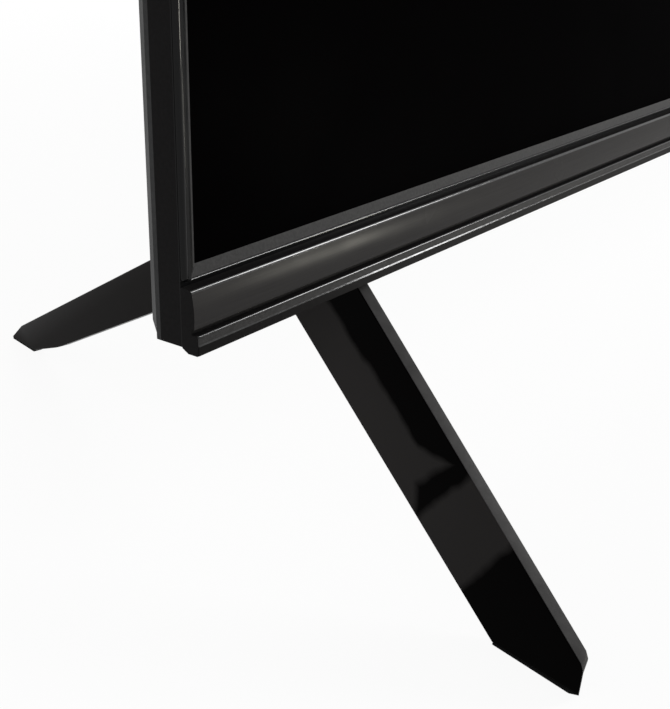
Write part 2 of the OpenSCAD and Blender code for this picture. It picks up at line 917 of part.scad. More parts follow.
module inlet_pins() {
  color("#c9b27a") in_set() for (s = [-1, 1])
    translate([inlet_x + s*inlet_pin_x, house_depth - inlet_depth, inlet_z]) rotate([-90, 0, 0])
      cylinder(r = inlet_pin_r, h = inlet_depth - inlet_pin_short);
}

// Row of keys in the underside, right of the middle
key_n = 7;
key_x0 = 64;
key_back = 11.6;
key_y = rim_back + key_back;
key_corner = 1;
key_flange = 1.2;
key_flange_t = 1;
key_stem_r = 1.4;
key_stem_l = 2.4;
switch_h = 3;
switch_gap = 0.2;
key_rest = cover_floor + gap;
key_top = key_rest + key_flange_t + key_stem_l;
switch_low = key_top + key_travel + switch_gap;
key_board_z = switch_low + switch_h;

function key_x(i) = key_x0 + i*key_pitch;

module key_hole(i) {
  translate([key_x(i), key_y, underside - over]) linear_extrude(cover_wall + 2*over) key_plan(gap);
}

// Plan of a key, moved out on all sides
module key_plan(grow) {
  half = [key_w/2 + grow, key_l/2 + grow];
  round_rect(-half, half, key_corner);
}

// One key: cap through the cover, a flange that holds it in and a stem under its switch
module push_key(i) {
  color("#2e2f31") in_set() translate([key_x(i), key_y, 0]) {
    translate([0, 0, underside - key_proud])
      linear_extrude(key_rest + key_flange_t - underside + key_proud) key_plan(0);
    translate([0, 0, key_rest]) linear_extrude(key_flange_t) key_plan(key_flange);
    translate([0, 0, key_rest]) cylinder(r = key_stem_r, h = key_top - key_rest);
  }
}

module key_power() { push_key(0); }
module key_source() { push_key(1); }
module key_menu() { push_key(2); }
module key_channel_down() { push_key(3); }
module key_channel_up() { push_key(4); }
module key_volume_down() { push_key(5); }
module key_volume_up() { push_key(6); }

module key_switches() {
  size = 6;
  plunger = [1.7, 1];
  color("#c8cacc") in_set() for (i = [0:key_n - 1])
    translate([key_x(i), key_y, switch_low]) {
      cylinder(r = plunger.x, h = plunger.y);
      translate([-size/2, -size/2, plunger.y - eps]) cube([size, size, switch_h - plunger.y + eps]);
    }
}

// Posts on the cover that carry the key board at its two ends
key_post_r = 3;
key_post_x = 11;
key_board_end = 4;
key_board_half = 6;
key_board_t = 1.2;

module key_posts() {
  for (x = [key_x(0) - key_post_x, key_x(key_n - 1) + key_post_x])
    translate([x, key_y, cover_floor - cover_wall/2])
      cylinder(r = key_post_r, h = key_board_z - cover_floor + cover_wall/2);
}

module key_board() {
  color("#1a5a3c") in_set() box(
    [key_x(0) - key_post_x - key_board_end, key_y - key_board_half, key_board_z],
    [key_x(key_n - 1) + key_post_x + key_board_end, key_y + key_board_half, key_board_z + key_board_t]
  );
}

// Infra red receiver behind a dark window under the middle of the frame
ir_w = 22;
ir_y = (frame_front + lip_step + lip_drop + seam)/2;
ir_d = 2.6;
ir_drop = 2;
ir_stem = 0.6;
ir_board_z = frame_floor + ir_stem;
ir_board_t = 1;
ir_board_end = 6;
ir_board_front = 2;

module ir_slot(grow) {
  box([-ir_w/2 - grow, ir_y - ir_d/2 - grow, frame_lift - over],
      [ir_w/2 + grow, ir_y + ir_d/2 + grow, frame_floor + over]);
}

module ir_window() {
  lip = 1;
  color("#1a0d0d") in_set() {
    box([-ir_w/2, ir_y - ir_d/2, frame_lift - eps], [ir_w/2, ir_y + ir_d/2, ir_board_z]);
    translate([0, ir_y, frame_lift - ir_drop]) linear_extrude(ir_drop)
      round_rect([-ir_w/2 - 2*lip, -ir_d/2 - lip], [ir_w/2 + 2*lip, ir_d/2 + lip], lip);
  }
}

module ir_board() {
  color("#1a5a3c") in_set() box(
    [-ir_w/2 - ir_board_end, ir_y - ir_board_front, ir_board_z],
    [ir_w/2 + ir_board_end, seam - hole_gap, ir_board_z + ir_board_t]
  );
}

// Receiver and indicator lamp on the board, over the window's stem
module ir_sensor() {
  top = ir_board_z + ir_board_t;
  half = [2.6, 1.2, 2.2];
  lamp = [1.1, 1.8];
  lamp_x = 6.5;
  color("#0c0c0d") in_set() {
    box([-half.x, ir_y - half.y, top], [half.x, ir_y + half.y, top + half.z]);
    translate([lamp_x, ir_y, top]) cylinder(r = lamp.x, h = lamp.y);
  }
}

// Speakers: sealed boxes over the slots, each with a driver that fires down
speaker_x = set_w/2 - speaker_inset;
speaker_gap = 3;
speaker_y = tray_back + speaker_gap + speaker_d/2;
speaker_wall = 2;
driver_z = cover_floor + speaker_wall;
driver_pole_r = 4.4;
driver_coil_r = 4.9;
driver_plate_r = 6.4;
driver_ring_r = 12;
driver_edge_r = cone_r + 0.8;
driver_rim = 1.6;
driver_out_r = driver_edge_r + driver_rim;
driver_h = 13;
basket_t = 1.4;

module at_speaker(side) {
  in_set() translate([side*speaker_x, speaker_y, 0]) children();
}

module speaker_box(side) {
  color("#1c1d1f") at_speaker(side) difference() {
    translate([-speaker_w/2, -speaker_d/2, cover_floor]) cube([speaker_w, speaker_d, speaker_h]);
    translate([-speaker_w/2 + speaker_wall, -speaker_d/2 + speaker_wall, cover_floor + speaker_wall])
      cube([speaker_w - 2*speaker_wall, speaker_d - 2*speaker_wall, speaker_h - 2*speaker_wall]);
    translate([0, 0, cover_floor - over]) cylinder(r = driver_edge_r, h = speaker_wall + 2*over);
  }
}

// Basket: flange, sloping wall with four windows and the plate round the coil
module speaker_basket(side) {
  rim_t = 2;
  skirt_in = 1.2;
  window = [10, 7];
  window_low = 3.4;
  color("#4b4d50") at_speaker(side) translate([0, 0, driver_z]) difference() {
    rotate_extrude() polygon([
      [driver_edge_r, 0], [driver_out_r, 0], [driver_out_r, rim_t], [driver_edge_r + skirt_in, rim_t],
      [driver_ring_r - 1, driver_h - rim_t], [driver_ring_r - 1, driver_h], [driver_plate_r, driver_h],
      [driver_plate_r, driver_h - basket_t], [driver_ring_r - 1 - basket_t, driver_h - basket_t],
      [driver_edge_r, 2*basket_t]
    ]);
    for (a = [45, 135]) rotate([0, 0, a]) translate([-driver_out_r, -window.x/2, window_low])
      cube([2*driver_out_r, window.x, window.y]);
  }
}

module speaker_magnet(side) {
  ring_h = 9;
  well = 7;
  pole_low = 1.2;
  color("#55585b") at_speaker(side) translate([0, 0, driver_z + driver_h]) {
    difference() {
      cylinder(r = driver_ring_r, h = ring_h);
      translate([0, 0, -over]) cylinder(r = driver_plate_r, h = well + over);
    }
    translate([0, 0, -pole_low]) cylinder(r = driver_pole_r, h = ring_h);
  }
}

// Cone with its coil former and dust cap
module speaker_cone(side) {
  edge_low = 1.2;
  edge_t = 0.6;
  cap_low = 8.2;
  cap_t = 0.8;
  coil_t = 0.5;
  coil_top = 16;
  color("#17181a") at_speaker(side) translate([0, 0, driver_z]) rotate_extrude() polygon([
    [0, cap_low], [driver_coil_r, cap_low], [cone_r - cap_t, edge_low], [cone_r, edge_low],
    [cone_r, edge_low + edge_t], [driver_coil_r + coil_t, cap_low + 1], [driver_coil_r + coil_t, coil_top],
    [driver_coil_r, coil_top], [driver_coil_r, cap_low + cap_t], [0, cap_low + cap_t]
  ]);
}

module left_speaker_box() { speaker_box(-1); }
module left_speaker_basket() { speaker_basket(-1); }
module left_speaker_magnet() { speaker_magnet(-1); }
module left_speaker_cone() { speaker_cone(-1); }
module right_speaker_box() { speaker_box(1); }
module right_speaker_basket() { speaker_basket(1); }
module right_speaker_magnet() { speaker_magnet(1); }
module right_speaker_cone() { speaker_cone(1); }

// Feet: x runs inwards from the plate's outer face, y towards the back
module at_foot(side) {
  mirror([side > 0 ? 1 : 0, 0, 0])
    translate([-(set_w/2 - foot_inset), foot_y, 0]) rotate([0, 0, -toe_out]) children();
}

flange_top = stand_h + underside;
plate_top = stand_h + frame_lift - gap;
flange_back = foot_top/2;
flange_front = flange_back - flange_l;
screw_in = [6, 9];
screw_u = [flange_front + screw_in.x, flange_back - screw_in.y];
screw_out = 11;
screw_n = foot_t + screw_out;
foot_screw_r = 1.9;
toe_h = 10.4;
nose_h = 8.7;
toe_tuck = 1.7;
knee_back = 0.8;
rear_toe_h = 7.4;
rear_knee = 7.8;
rear_bend = [33.3, 6.4];
apex_back = 5.3;
edge_r = 0.6;
crotch_r = 3;
// Length that the rounding takes off the sharp rear toe
toe_trim = edge_r*(1/tan(atan2(rear_toe_h - pad_t, rear_knee)/2) - 1);

// Outline of the plate, towards the back and up
module foot_outline() {
  polygon([
    [-front_reach + front_toe, pad_t], [-front_reach + toe_tuck, pad_t], [-front_reach, nose_h],
    [-front_reach + knee_back, toe_h], [-foot_top/2, plate_top], [foot_top/2, plate_top],
    [rear_reach - rear_knee, rear_toe_h], [rear_reach + toe_trim, pad_t], [rear_reach - rear_toe, pad_t],
    [rear_reach - rear_bend.x, rear_bend.y], [apex_back, stand_h - web_h]
  ]);
}

module foot(side) {
  bend_r = 2.5;
  color("#0c0d0e") at_foot(side) difference() {
    union() {
      across(0, foot_t) offset(r = edge_r) offset(r = -edge_r - crotch_r) offset(delta = crotch_r)
        foot_outline();
      translate([0, flange_front, flange_top - foot_t])
        cube([foot_t + flange_w, flange_l, foot_t]);
      translate([foot_t - eps, flange_front, flange_top - foot_t - bend_r]) difference() {
        cube([bend_r + eps, flange_l, bend_r + eps]);
        translate([bend_r + eps, -over, 0]) rotate([-90, 0, 0]) cylinder(r = bend_r, h = flange_l + 2*over);
      }
      translate([0, flange_front, plate_top - web_h/2])
        cube([foot_t, flange_l, flange_top - plate_top + web_h/2]);
    }
    for (u = screw_u) translate([screw_n, u, flange_top - foot_t - over])
      cylinder(r = foot_screw_r + gap, h = foot_t + 2*over);
  }
}

module left_foot() { foot(-1); }
module right_foot() { foot(1); }

// Rubber pads under the four toes
pad_in = 0.8;

module foot_pads() {
  color("#18181a") for (side = [-1, 1]) at_foot(side) {
    translate([0, -front_reach + toe_tuck + pad_in, 0])
      cube([foot_t, front_toe - toe_tuck - 2*pad_in, pad_t]);
    translate([0, rear_reach - rear_toe + pad_in, 0]) cube([foot_t, rear_toe - 2*pad_in, pad_t]);
  }
}

// Screws from below through flange and cover into the bracket
bracket_t = 3;
foot_screw_tip = 2;
foot_screw_l = foot_t + cover_wall + bracket_t + foot_screw_tip;
foot_head_r = 3.6;
foot_head_h = 2.4;

module foot_screws() {
  color("#2a2b2d") for (side = [-1, 1]) at_foot(side) for (u = screw_u)
    translate([screw_n, u, flange_top - foot_t - foot_head_h]) {
      cylinder(r = foot_head_r, h = foot_head_h);
      cylinder(r = foot_screw_r, h = foot_head_h + foot_screw_l);
    }
}

// Holes in the cover for the foot screws, in the set's own frame
module foot_screw_holes(side) {
  translate([0, -front_y, -stand_h]) at_foot(side) for (u = screw_u)
    translate([screw_n, u, flange_top - over]) cylinder(r = foot_screw_r + hole_gap, h = cover_wall + 2*over);
}

// Steel angle inside the cover that carries a foot: a foot plate and an upright against the tray
bracket_w = 34;
bracket_end = 2;
bracket_in = 1.5;
bracket_gap = 4;
bracket_up = recess_low - cover_wall - cover_floor - bracket_gap;

module foot_bracket(side) {
  mid_x = -(set_w/2 - foot_inset) + screw_n*cos(toe_out) + bracket_in;
  mid_y = foot_d - screw_n*sin(toe_out);
  low = stand_h + cover_floor;
  color("#8b8e91") difference() {
    mirror([side > 0 ? 1 : 0, 0, 0]) in_set() translate([mid_x - bracket_w/2, 0, cover_floor]) {
      box([0, mid_y + flange_front - bracket_end, 0],
          [bracket_w, mid_y + flange_back + bracket_end, bracket_t]);
      box([0, tray_back, 0], [bracket_w, tray_back + bracket_t, bracket_up]);
    }
    at_foot(side) for (u = screw_u) translate([screw_n, u, low - over])
      cylinder(r = foot_screw_r + thread_gap, h = foot_screw_l);
  }
}

module left_foot_bracket() { foot_bracket(-1); }
module right_foot_bracket() { foot_bracket(1); }

front_frame();
chin_bar();
lcd_panel();
panel_frame();
panel_driver_board();
panel_films();
panel_ribbon();
prism_sheet();
diffuser_plate();
reflector_sheet();
led_bars();
led_lenses();
backlight_tray();
wall_mount_bosses();
rear_cover();
rear_cover_screws();
board_standoffs();
board_screws();
timing_board();
main_board();
processor_heatsink();
hdmi_sockets();
usb_sockets();
network_socket();
antenna_socket();
headphone_socket();
power_board();
transformer();
mains_capacitors();
mains_inlet();
inlet_pins();
key_board();
key_switches();
key_power();
key_source();
key_menu();
key_channel_down();
key_channel_up();
key_volume_down();
key_volume_up();
ir_board();
ir_sensor();
ir_window();
left_speaker_box();
left_speaker_basket();
left_speaker_magnet();
left_speaker_cone();
right_speaker_box();
right_speaker_basket();
right_speaker_magnet();
right_speaker_cone();
left_foot();
right_foot();
foot_pads();
left_foot_bracket();
right_foot_bracket();
foot_screws();
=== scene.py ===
import json
import math

import bpy
from mathutils import Matrix, Vector

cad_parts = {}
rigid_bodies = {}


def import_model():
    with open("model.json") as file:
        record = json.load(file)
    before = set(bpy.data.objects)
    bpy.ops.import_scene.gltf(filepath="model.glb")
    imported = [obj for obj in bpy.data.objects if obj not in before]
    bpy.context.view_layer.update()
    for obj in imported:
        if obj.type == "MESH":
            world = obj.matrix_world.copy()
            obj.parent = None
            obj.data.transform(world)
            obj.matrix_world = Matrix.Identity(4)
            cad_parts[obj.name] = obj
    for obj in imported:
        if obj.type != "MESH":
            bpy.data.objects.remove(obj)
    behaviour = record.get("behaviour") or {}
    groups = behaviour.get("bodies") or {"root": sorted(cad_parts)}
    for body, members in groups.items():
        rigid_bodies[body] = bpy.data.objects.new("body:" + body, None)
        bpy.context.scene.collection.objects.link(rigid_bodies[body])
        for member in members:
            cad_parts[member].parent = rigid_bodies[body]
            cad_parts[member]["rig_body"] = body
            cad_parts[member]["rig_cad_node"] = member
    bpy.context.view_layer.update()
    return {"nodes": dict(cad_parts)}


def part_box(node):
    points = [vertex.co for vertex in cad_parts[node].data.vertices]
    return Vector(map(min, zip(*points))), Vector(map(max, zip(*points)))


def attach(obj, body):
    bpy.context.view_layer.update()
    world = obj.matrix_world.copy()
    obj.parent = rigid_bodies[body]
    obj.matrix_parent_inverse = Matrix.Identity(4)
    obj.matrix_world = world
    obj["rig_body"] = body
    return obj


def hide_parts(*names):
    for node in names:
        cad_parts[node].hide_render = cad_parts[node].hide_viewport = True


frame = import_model()

# Studio: a white floor under a white surround, with two lamps before the set and a soft box behind it.
# The surround and the floor show white to the eye and in reflections, and light the set at a plain level.
mm = 0.001
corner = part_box("chin_bar")[0]
surround_light = 0.6
floor_shadow = 0.07
floor_size = 12.0
floor_tone = 0.9

scene = bpy.context.scene
scene.view_settings.view_transform = "Standard"


def seen_directly(tree):
    """A socket that is 1 for what the eye, a reflection or a clear piece shows, and 0 for scattered light"""
    path = tree.nodes.new("ShaderNodeLightPath")
    seen = path.outputs["Is Camera Ray"]
    for ray in ("Is Glossy Ray", "Is Transmission Ray"):
        either = tree.nodes.new("ShaderNodeMath")
        either.operation = "MAXIMUM"
        tree.links.new(seen, either.inputs[0])
        tree.links.new(path.outputs[ray], either.inputs[1])
        seen = either.outputs[0]
    return seen


world = bpy.data.worlds.new("white_surround")
scene.world = world
world.use_nodes = True
surround = world.node_tree.nodes["Background"]
surround.inputs["Color"].default_value = (1, 1, 1, 1)
level = world.node_tree.nodes.new("ShaderNodeMapRange")
level.inputs["To Min"].default_value = surround_light
level.inputs["To Max"].default_value = 1.0
world.node_tree.links.new(seen_directly(world.node_tree), level.inputs["Value"])
world.node_tree.links.new(level.outputs[0], surround.inputs["Strength"])

bpy.ops.object.select_all(action="DESELECT")
bpy.ops.mesh.primitive_plane_add(size=floor_size, location=(0, 0, 0))
floor = bpy.context.object
floor.name = "floor"
floor_paint = bpy.data.materials.new("floor_white")
floor_paint.use_nodes = True
tree = floor_paint.node_tree
tree.nodes.remove(tree.nodes["Principled BSDF"])
matt = tree.nodes.new("ShaderNodeBsdfDiffuse")
matt.inputs["Color"].default_value = (floor_tone, floor_tone, floor_tone, 1)
glow = tree.nodes.new("ShaderNodeEmission")
share = tree.nodes.new("ShaderNodeMapRange")
share.inputs["To Min"].default_value = 0.0
share.inputs["To Max"].default_value = 1.0 - floor_shadow
mix = tree.nodes.new("ShaderNodeMixShader")
tree.links.new(seen_directly(tree), share.inputs["Value"])
tree.links.new(share.outputs[0], mix.inputs["Fac"])
tree.links.new(matt.outputs[0], mix.inputs[1])
tree.links.new(glow.outputs[0], mix.inputs[2])
tree.links.new(mix.outputs[0], tree.nodes["Material Output"].inputs["Surface"])
floor.data.materials.append(floor_paint)


def soft_box(name, towards, distance, width, height, brightness, colour=(1, 1, 1)):
    """An area lamp that faces the lower left corner of the set from a direction"""
    lamp = bpy.data.lights.new(name, "AREA")
    lamp.shape = "RECTANGLE"
    lamp.size = width
    lamp.size_y = height
    lamp.energy = brightness * math.pi * width * height
    lamp.color = colour
    holder = bpy.data.objects.new(name, lamp)
    holder.visible_camera = False
    scene.collection.objects.link(holder)
    way = Vector(towards).normalized()
    holder.location = corner + way * distance
    holder.rotation_mode = "QUATERNION"
    holder.rotation_quaternion = way.to_track_quat("Z", "Y")


soft_box("front_strip", towards=(0.75, -0.5, 0.4), distance=1.2, width=0.25, height=0.5, brightness=18)
soft_box(
    "low_box", towards=(0.799, -0.592, -0.106), distance=0.48, width=0.05, height=0.06, brightness=52,
    colour=(1, 0.97, 0.85)
)
soft_box("back_soft_box", towards=(0.85, 0.6, 0.5), distance=2.2, width=0.9, height=0.9, brightness=6)

# Camera: close to the lower left corner of the set, in front of it and above it, looking down along the chin.
# Its place is given from that corner, and its turn, tilt and roll are those of the photograph.
camera_turn = math.radians(53.565)
camera_tilt = math.radians(22.465)
camera_roll = math.radians(-1.0804)
camera_from_corner = Vector((-157.79, -150.16, 90.55)) * mm
camera_lens = 59.981
camera_nearest = 10 * mm

ahead = Vector((
    math.sin(camera_turn) * math.cos(camera_tilt),
    math.cos(camera_turn) * math.cos(camera_tilt),
    -math.sin(camera_tilt),
))
level_right = Vector((math.cos(camera_turn), -math.sin(camera_turn), 0))
level_down = ahead.cross(level_right)
image_right = math.cos(camera_roll) * level_right + math.sin(camera_roll) * level_down
image_down = math.cos(camera_roll) * level_down - math.sin(camera_roll) * level_right
camera = bpy.data.objects.new("camera", bpy.data.cameras.new("camera"))
scene.collection.objects.link(camera)
camera.data.lens = camera_lens
camera.data.clip_start = camera_nearest
camera.matrix_world = (
    Matrix.Translation(corner + camera_from_corner)
    @ Matrix((image_right, -image_down, -ahead)).transposed().to_4x4()
)
scene.camera = camera

# Rear cover: the back half of the case, one deep moulding in black plastic with a fine spark texture.
# It holds the vents, the socket recess and the key windows, and is screwed to the tray behind the screen.
cover_edge = 0.4 * mm
cover_sharp = 14
weld = 0.001 * mm
large_face_weight = 100
flat_angle = math.radians(0.5)

# Most of a noise pattern lies between these two values
noise_low = 0.3
noise_high = 0.7


def take(piece):
    """Makes a piece the only one that is selected"""
    bpy.ops.object.select_all(action="DESELECT")
    piece.select_set(True)
    bpy.context.view_layer.objects.active = piece


def finish_of(name, colour, roughness, reflection=0.25, metallic=0.0):
    """A material with plain values, which patterns then vary"""
    material = bpy.data.materials.new(name)
    material.use_nodes = True
    shader = material.node_tree.nodes["Principled BSDF"]
    shader.inputs["Base Color"].default_value = (*colour, 1)
    shader.inputs["Roughness"].default_value = roughness
    shader.inputs["Specular IOR Level"].default_value = reflection
    shader.inputs["Metallic"].default_value = metallic
    return material


def pattern(material, kind, scale, stretch=(1, 1, 1)):
    """The grey value of a texture that lies on the object's own coordinates"""
    nodes, links = material.node_tree.nodes, material.node_tree.links
    place = nodes.new("ShaderNodeTexCoord")
    lay = nodes.new("ShaderNodeMapping")
    lay.inputs["Scale"].default_value = stretch
    texture = nodes.new("ShaderNodeTex" + kind)
    texture.inputs["Scale"].default_value = scale
    links.new(place.outputs["Object"], lay.inputs["Vector"])
    links.new(lay.outputs["Vector"], texture.inputs["Vector"])
    return texture.outputs["Distance" if kind == "Voronoi" else "Fac"]


def vary(material, source, low, high):
    """Lets a pattern move the roughness between two levels"""
    nodes, links = material.node_tree.nodes, material.node_tree.links
    span = nodes.new("ShaderNodeMapRange")
    span.inputs["From Min"].default_value = noise_low
    span.inputs["From Max"].default_value = noise_high
    span.inputs["To Min"].default_value = low
    span.inputs["To Max"].default_value = high
    links.new(source, span.inputs["Value"])
    links.new(span.outputs["Result"], nodes["Principled BSDF"].inputs["Roughness"])


def tint(material, source, dark, light, start=noise_low, end=noise_high):
    """Lets a pattern move the colour between two tones"""
    nodes, links = material.node_tree.nodes, material.node_tree.links
    ramp = nodes.new("ShaderNodeValToRGB")
    for stop, place, colour in zip(ramp.color_ramp.elements, (start, end), (dark, light)):
        stop.position = place
        stop.color = (*colour, 1)
    links.new(source, ramp.inputs["Fac"])
    links.new(ramp.outputs["Color"], nodes["Principled BSDF"].inputs["Base Color"])


def relief(material, source, depth):
    """Lets a pattern raise and sink the surface by a small depth"""
    nodes, links = material.node_tree.nodes, material.node_tree.links
    bump = nodes.new("ShaderNodeBump")
    bump.inputs["Distance"].default_value = depth
    links.new(source, bump.inputs["Height"])
    links.new(bump.outputs["Normal"], nodes["Principled BSDF"].inputs["Normal"])


def round_edges(piece, width, segments=2, sharp=30):
    """Rounds the edges of a piece that are sharper than an angle in degrees, and shades large faces flat"""
    take(piece)
    bpy.ops.object.modifier_add(type="BEVEL")
    bevel = piece.modifiers[-1]
    bevel.width = width
    bevel.segments = segments
    bevel.limit_method = "ANGLE"
    bevel.angle_limit = math.radians(sharp)
    bpy.ops.object.modifier_apply(modifier=bevel.name)
    bpy.ops.object.shade_smooth_by_angle(angle=math.radians(sharp))
    bpy.ops.object.modifier_add(type="WEIGHTED_NORMAL")
    shading = piece.modifiers[-1]
    shading.weight = large_face_weight
    shading.keep_sharp = True
    bpy.ops.object.modifier_apply(modifier=shading.name)


def rounded_copy(node, name, body, finish, width, sharp=30):
    """A copy of a CAD node with whole faces and rounded edges, which is shown in its place"""
    take(frame["nodes"][node])
    bpy.ops.object.duplicate()
    piece = bpy.context.object
    piece.name = name
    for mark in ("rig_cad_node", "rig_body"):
        piece.pop(mark, None)
    bpy.ops.object.parent_clear(type="CLEAR_KEEP_TRANSFORM")
    bpy.ops.object.mode_set(mode="EDIT")
    bpy.ops.mesh.select_all(action="SELECT")
    bpy.ops.mesh.remove_doubles(threshold=weld)
    bpy.ops.mesh.dissolve_limited(angle_limit=flat_angle)
    bpy.ops.mesh.normals_make_consistent(inside=False)
    bpy.ops.object.mode_set(mode="OBJECT")
    round_edges(piece, width, sharp=sharp)
    piece.data.materials.clear()
    piece.data.materials.append(finish)
    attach(piece, body)
    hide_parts(node)
    return piece


cover_finish = finish_of("cover_spark_texture", (0.02, 0.02, 0.0205), roughness=0.55, reflection=0.2)
tint(cover_finish, pattern(cover_finish, "Noise", 900), (0.016, 0.016, 0.0165), (0.025, 0.025, 0.0255))
vary(cover_finish, pattern(cover_finish, "Noise", 40), low=0.48, high=0.6)
relief(cover_finish, pattern(cover_finish, "Noise", 2400), depth=0.05 * mm)
rear_cover = rounded_copy("rear_cover", "rear_cover_moulding", "set", cover_finish, cover_edge, cover_sharp)

# Screws of the rear cover: black zinc pan heads with a cross recess, sunk in wells round the cover's edge.
# They pass through the cover's bosses into pressed holes in the backlight tray.
cover_screws_low, cover_screws_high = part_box("rear_cover_screws")
cover_head_r = 3.2 * mm
cover_head_h = 1.8 * mm
cover_shank_r = 1.5 * mm
cover_screw_mid = 125 * mm
screw_sides = 32
screw_dome = 0.55
screw_tip = 0.4
slot_length = 1.1
slot_width = 0.24
screw_smooth = math.radians(35)


def pick(piece, wanted):
    """Opens a piece in edit mode with just the vertices selected whose place is wanted"""
    take(piece)
    for part in (piece.data.polygons, piece.data.edges):
        part.foreach_set("select", [False] * len(part))
    piece.data.vertices.foreach_set("select", [bool(wanted(v.co)) for v in piece.data.vertices])
    bpy.ops.object.mode_set(mode="EDIT")
    bpy.ops.mesh.select_mode(type="VERT")


def combine(piece, tool, operation):
    """Unites a piece with a tool or cuts the tool out of it, and removes the tool"""
    take(piece)
    bpy.ops.object.modifier_add(type="BOOLEAN")
    change = piece.modifiers[-1]
    change.operation = operation
    change.solver = "EXACT"
    change.object = tool
    bpy.ops.object.modifier_apply(modifier=change.name)
    bpy.data.objects.remove(tool)


def pan_screw(name, head_r, head_h, shank_r, length):
    """A screw with its head up, the seat of the head at the origin and a cross recess"""
    bpy.ops.object.select_all(action="DESELECT")
    bpy.ops.mesh.primitive_cylinder_add(
        vertices=screw_sides, radius=head_r, depth=head_h, location=(0, 0, head_h / 2)
    )
    screw = bpy.context.object
    screw.name = name
    bpy.ops.object.transform_apply(location=True, rotation=False, scale=False)
    pick(screw, lambda place: place.z > head_h / 2)
    bpy.ops.mesh.bevel(offset=head_h * screw_dome, segments=4, affect="EDGES")
    bpy.ops.object.mode_set(mode="OBJECT")
    pick(screw, lambda place: place.z < weld)
    bpy.ops.mesh.inset(thickness=head_r - shank_r, depth=0)
    bpy.ops.mesh.extrude_region_move(TRANSFORM_OT_translate={"value": (0, 0, shank_r - length)})
    bpy.ops.mesh.extrude_region_move(TRANSFORM_OT_translate={"value": (0, 0, -shank_r)})
    bpy.ops.transform.resize(value=(screw_tip, screw_tip, 1))
    bpy.ops.object.mode_set(mode="OBJECT")
    for turn in (0, math.pi / 2):
        bpy.ops.mesh.primitive_cube_add(size=1, location=(0, 0, head_h), rotation=(0, 0, turn))
        blade = bpy.context.object
        blade.scale = (head_r * slot_length, head_r * slot_width, head_h)
        combine(screw, blade, "DIFFERENCE")
    take(screw)
    bpy.ops.object.shade_smooth_by_angle(angle=screw_smooth)
    return screw


def turned(piece, x=0.0, y=0.0, z=0.0):
    """Turns a piece about the origin for good"""
    take(piece)
    piece.rotation_euler = (x, y, z)
    bpy.ops.object.transform_apply(location=False, rotation=True, scale=False)
    return piece


def copy_to(piece, places):
    """Moves the mesh of a piece to the first place and adds a copy of it at each other place"""
    take(piece)
    bpy.ops.object.mode_set(mode="EDIT")
    bpy.ops.mesh.select_all(action="SELECT")
    bpy.ops.transform.translate(value=places[0])
    for before, place in zip(places, places[1:]):
        bpy.ops.mesh.duplicate_move(TRANSFORM_OT_translate={"value": place - before})
    bpy.ops.object.mode_set(mode="OBJECT")
    return piece


screw_finish = finish_of(
    "screw_black_zinc", (0.02, 0.02, 0.022), roughness=0.35, reflection=0.5, metallic=0.6
)
vary(screw_finish, pattern(screw_finish, "Noise", 1500), low=0.28, high=0.45)
cover_screw_l = cover_screws_high.y - cover_screws_low.y - cover_head_h
cover_seat_y = cover_screws_high.y - cover_head_h
cover_screw_rows = (cover_screws_high.z - cover_head_r, cover_screws_low.z + cover_head_r)
cover_screw_side = cover_screws_high.x - cover_head_r
cover_screw_places = [
    Vector((side * across, cover_seat_y, height))
    for across, height in (
        (cover_screw_side, cover_screw_rows[0]),
        (cover_screw_mid, cover_screw_rows[0]),
        (cover_screw_side, cover_screw_rows[1]),
    )
    for side in (-1, 1)
]
cover_screws = pan_screw("cover_screws", cover_head_r, cover_head_h, cover_shank_r, cover_screw_l)
turned(cover_screws, x=-math.pi / 2)
copy_to(cover_screws, cover_screw_places)
cover_screws.data.materials.append(screw_finish)
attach(cover_screws, "set")
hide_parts("rear_cover_screws")

# Wall mount bosses: four turned steel tubes, welded to the tray and flush with the back of the cover.
# Their rims are softened, and fine turning marks run round them.
boss_edge = 0.35 * mm
boss_finish = finish_of("boss_turned_steel", (0.42, 0.43, 0.44), roughness=0.32, reflection=0.5, metallic=1.0)
tint(boss_finish, pattern(boss_finish, "Noise", 300), (0.36, 0.37, 0.38), (0.46, 0.47, 0.48))
vary(boss_finish, pattern(boss_finish, "Noise", 800), low=0.26, high=0.4)
relief(boss_finish, pattern(boss_finish, "Noise", 400, (0.1, 12, 0.1)), depth=0.05 * mm)
bosses = rounded_copy("wall_mount_bosses", "wall_mount_tubes", "set", boss_finish, boss_edge)

# Backlight: a pressed zinc-coated tray with light bars, moulded lenses and a white reflector in it.
# A diffuser plate and a prism sheet lie before it in a black moulded frame that also carries the glass.


def dress(finish, *nodes):
    """Gives a finish to CAD nodes that keep their own shape"""
    for node in nodes:
        for holder in frame["nodes"][node].material_slots:
            holder.material = finish


tray_finish = finish_of("tray_zinc_sheet", (0.45, 0.46, 0.47), roughness=0.38, reflection=0.5, metallic=1.0)
tray_tones = (0.4, 0.41, 0.42), (0.5, 0.51, 0.52)
tint(tray_finish, pattern(tray_finish, "Voronoi", 160), *tray_tones, start=0.1, end=0.8)
vary(tray_finish, pattern(tray_finish, "Noise", 90), low=0.32, high=0.48)
dress(tray_finish, "backlight_tray", "left_foot_bracket", "right_foot_bracket")

sheet_finish = finish_of("light_sheet_white", (0.86, 0.86, 0.84), roughness=0.5)
tint(sheet_finish, pattern(sheet_finish, "Noise", 50), (0.82, 0.82, 0.8), (0.88, 0.88, 0.86))
relief(sheet_finish, pattern(sheet_finish, "Wave", 500), depth=0.02 * mm)
dress(sheet_finish, "prism_sheet", "diffuser_plate", "reflector_sheet")

bar_finish = finish_of("light_bar_coat", (0.8, 0.8, 0.76), roughness=0.4)
tint(bar_finish, pattern(bar_finish, "Noise", 700), (0.76, 0.76, 0.72), (0.82, 0.82, 0.78))
dress(bar_finish, "led_bars")

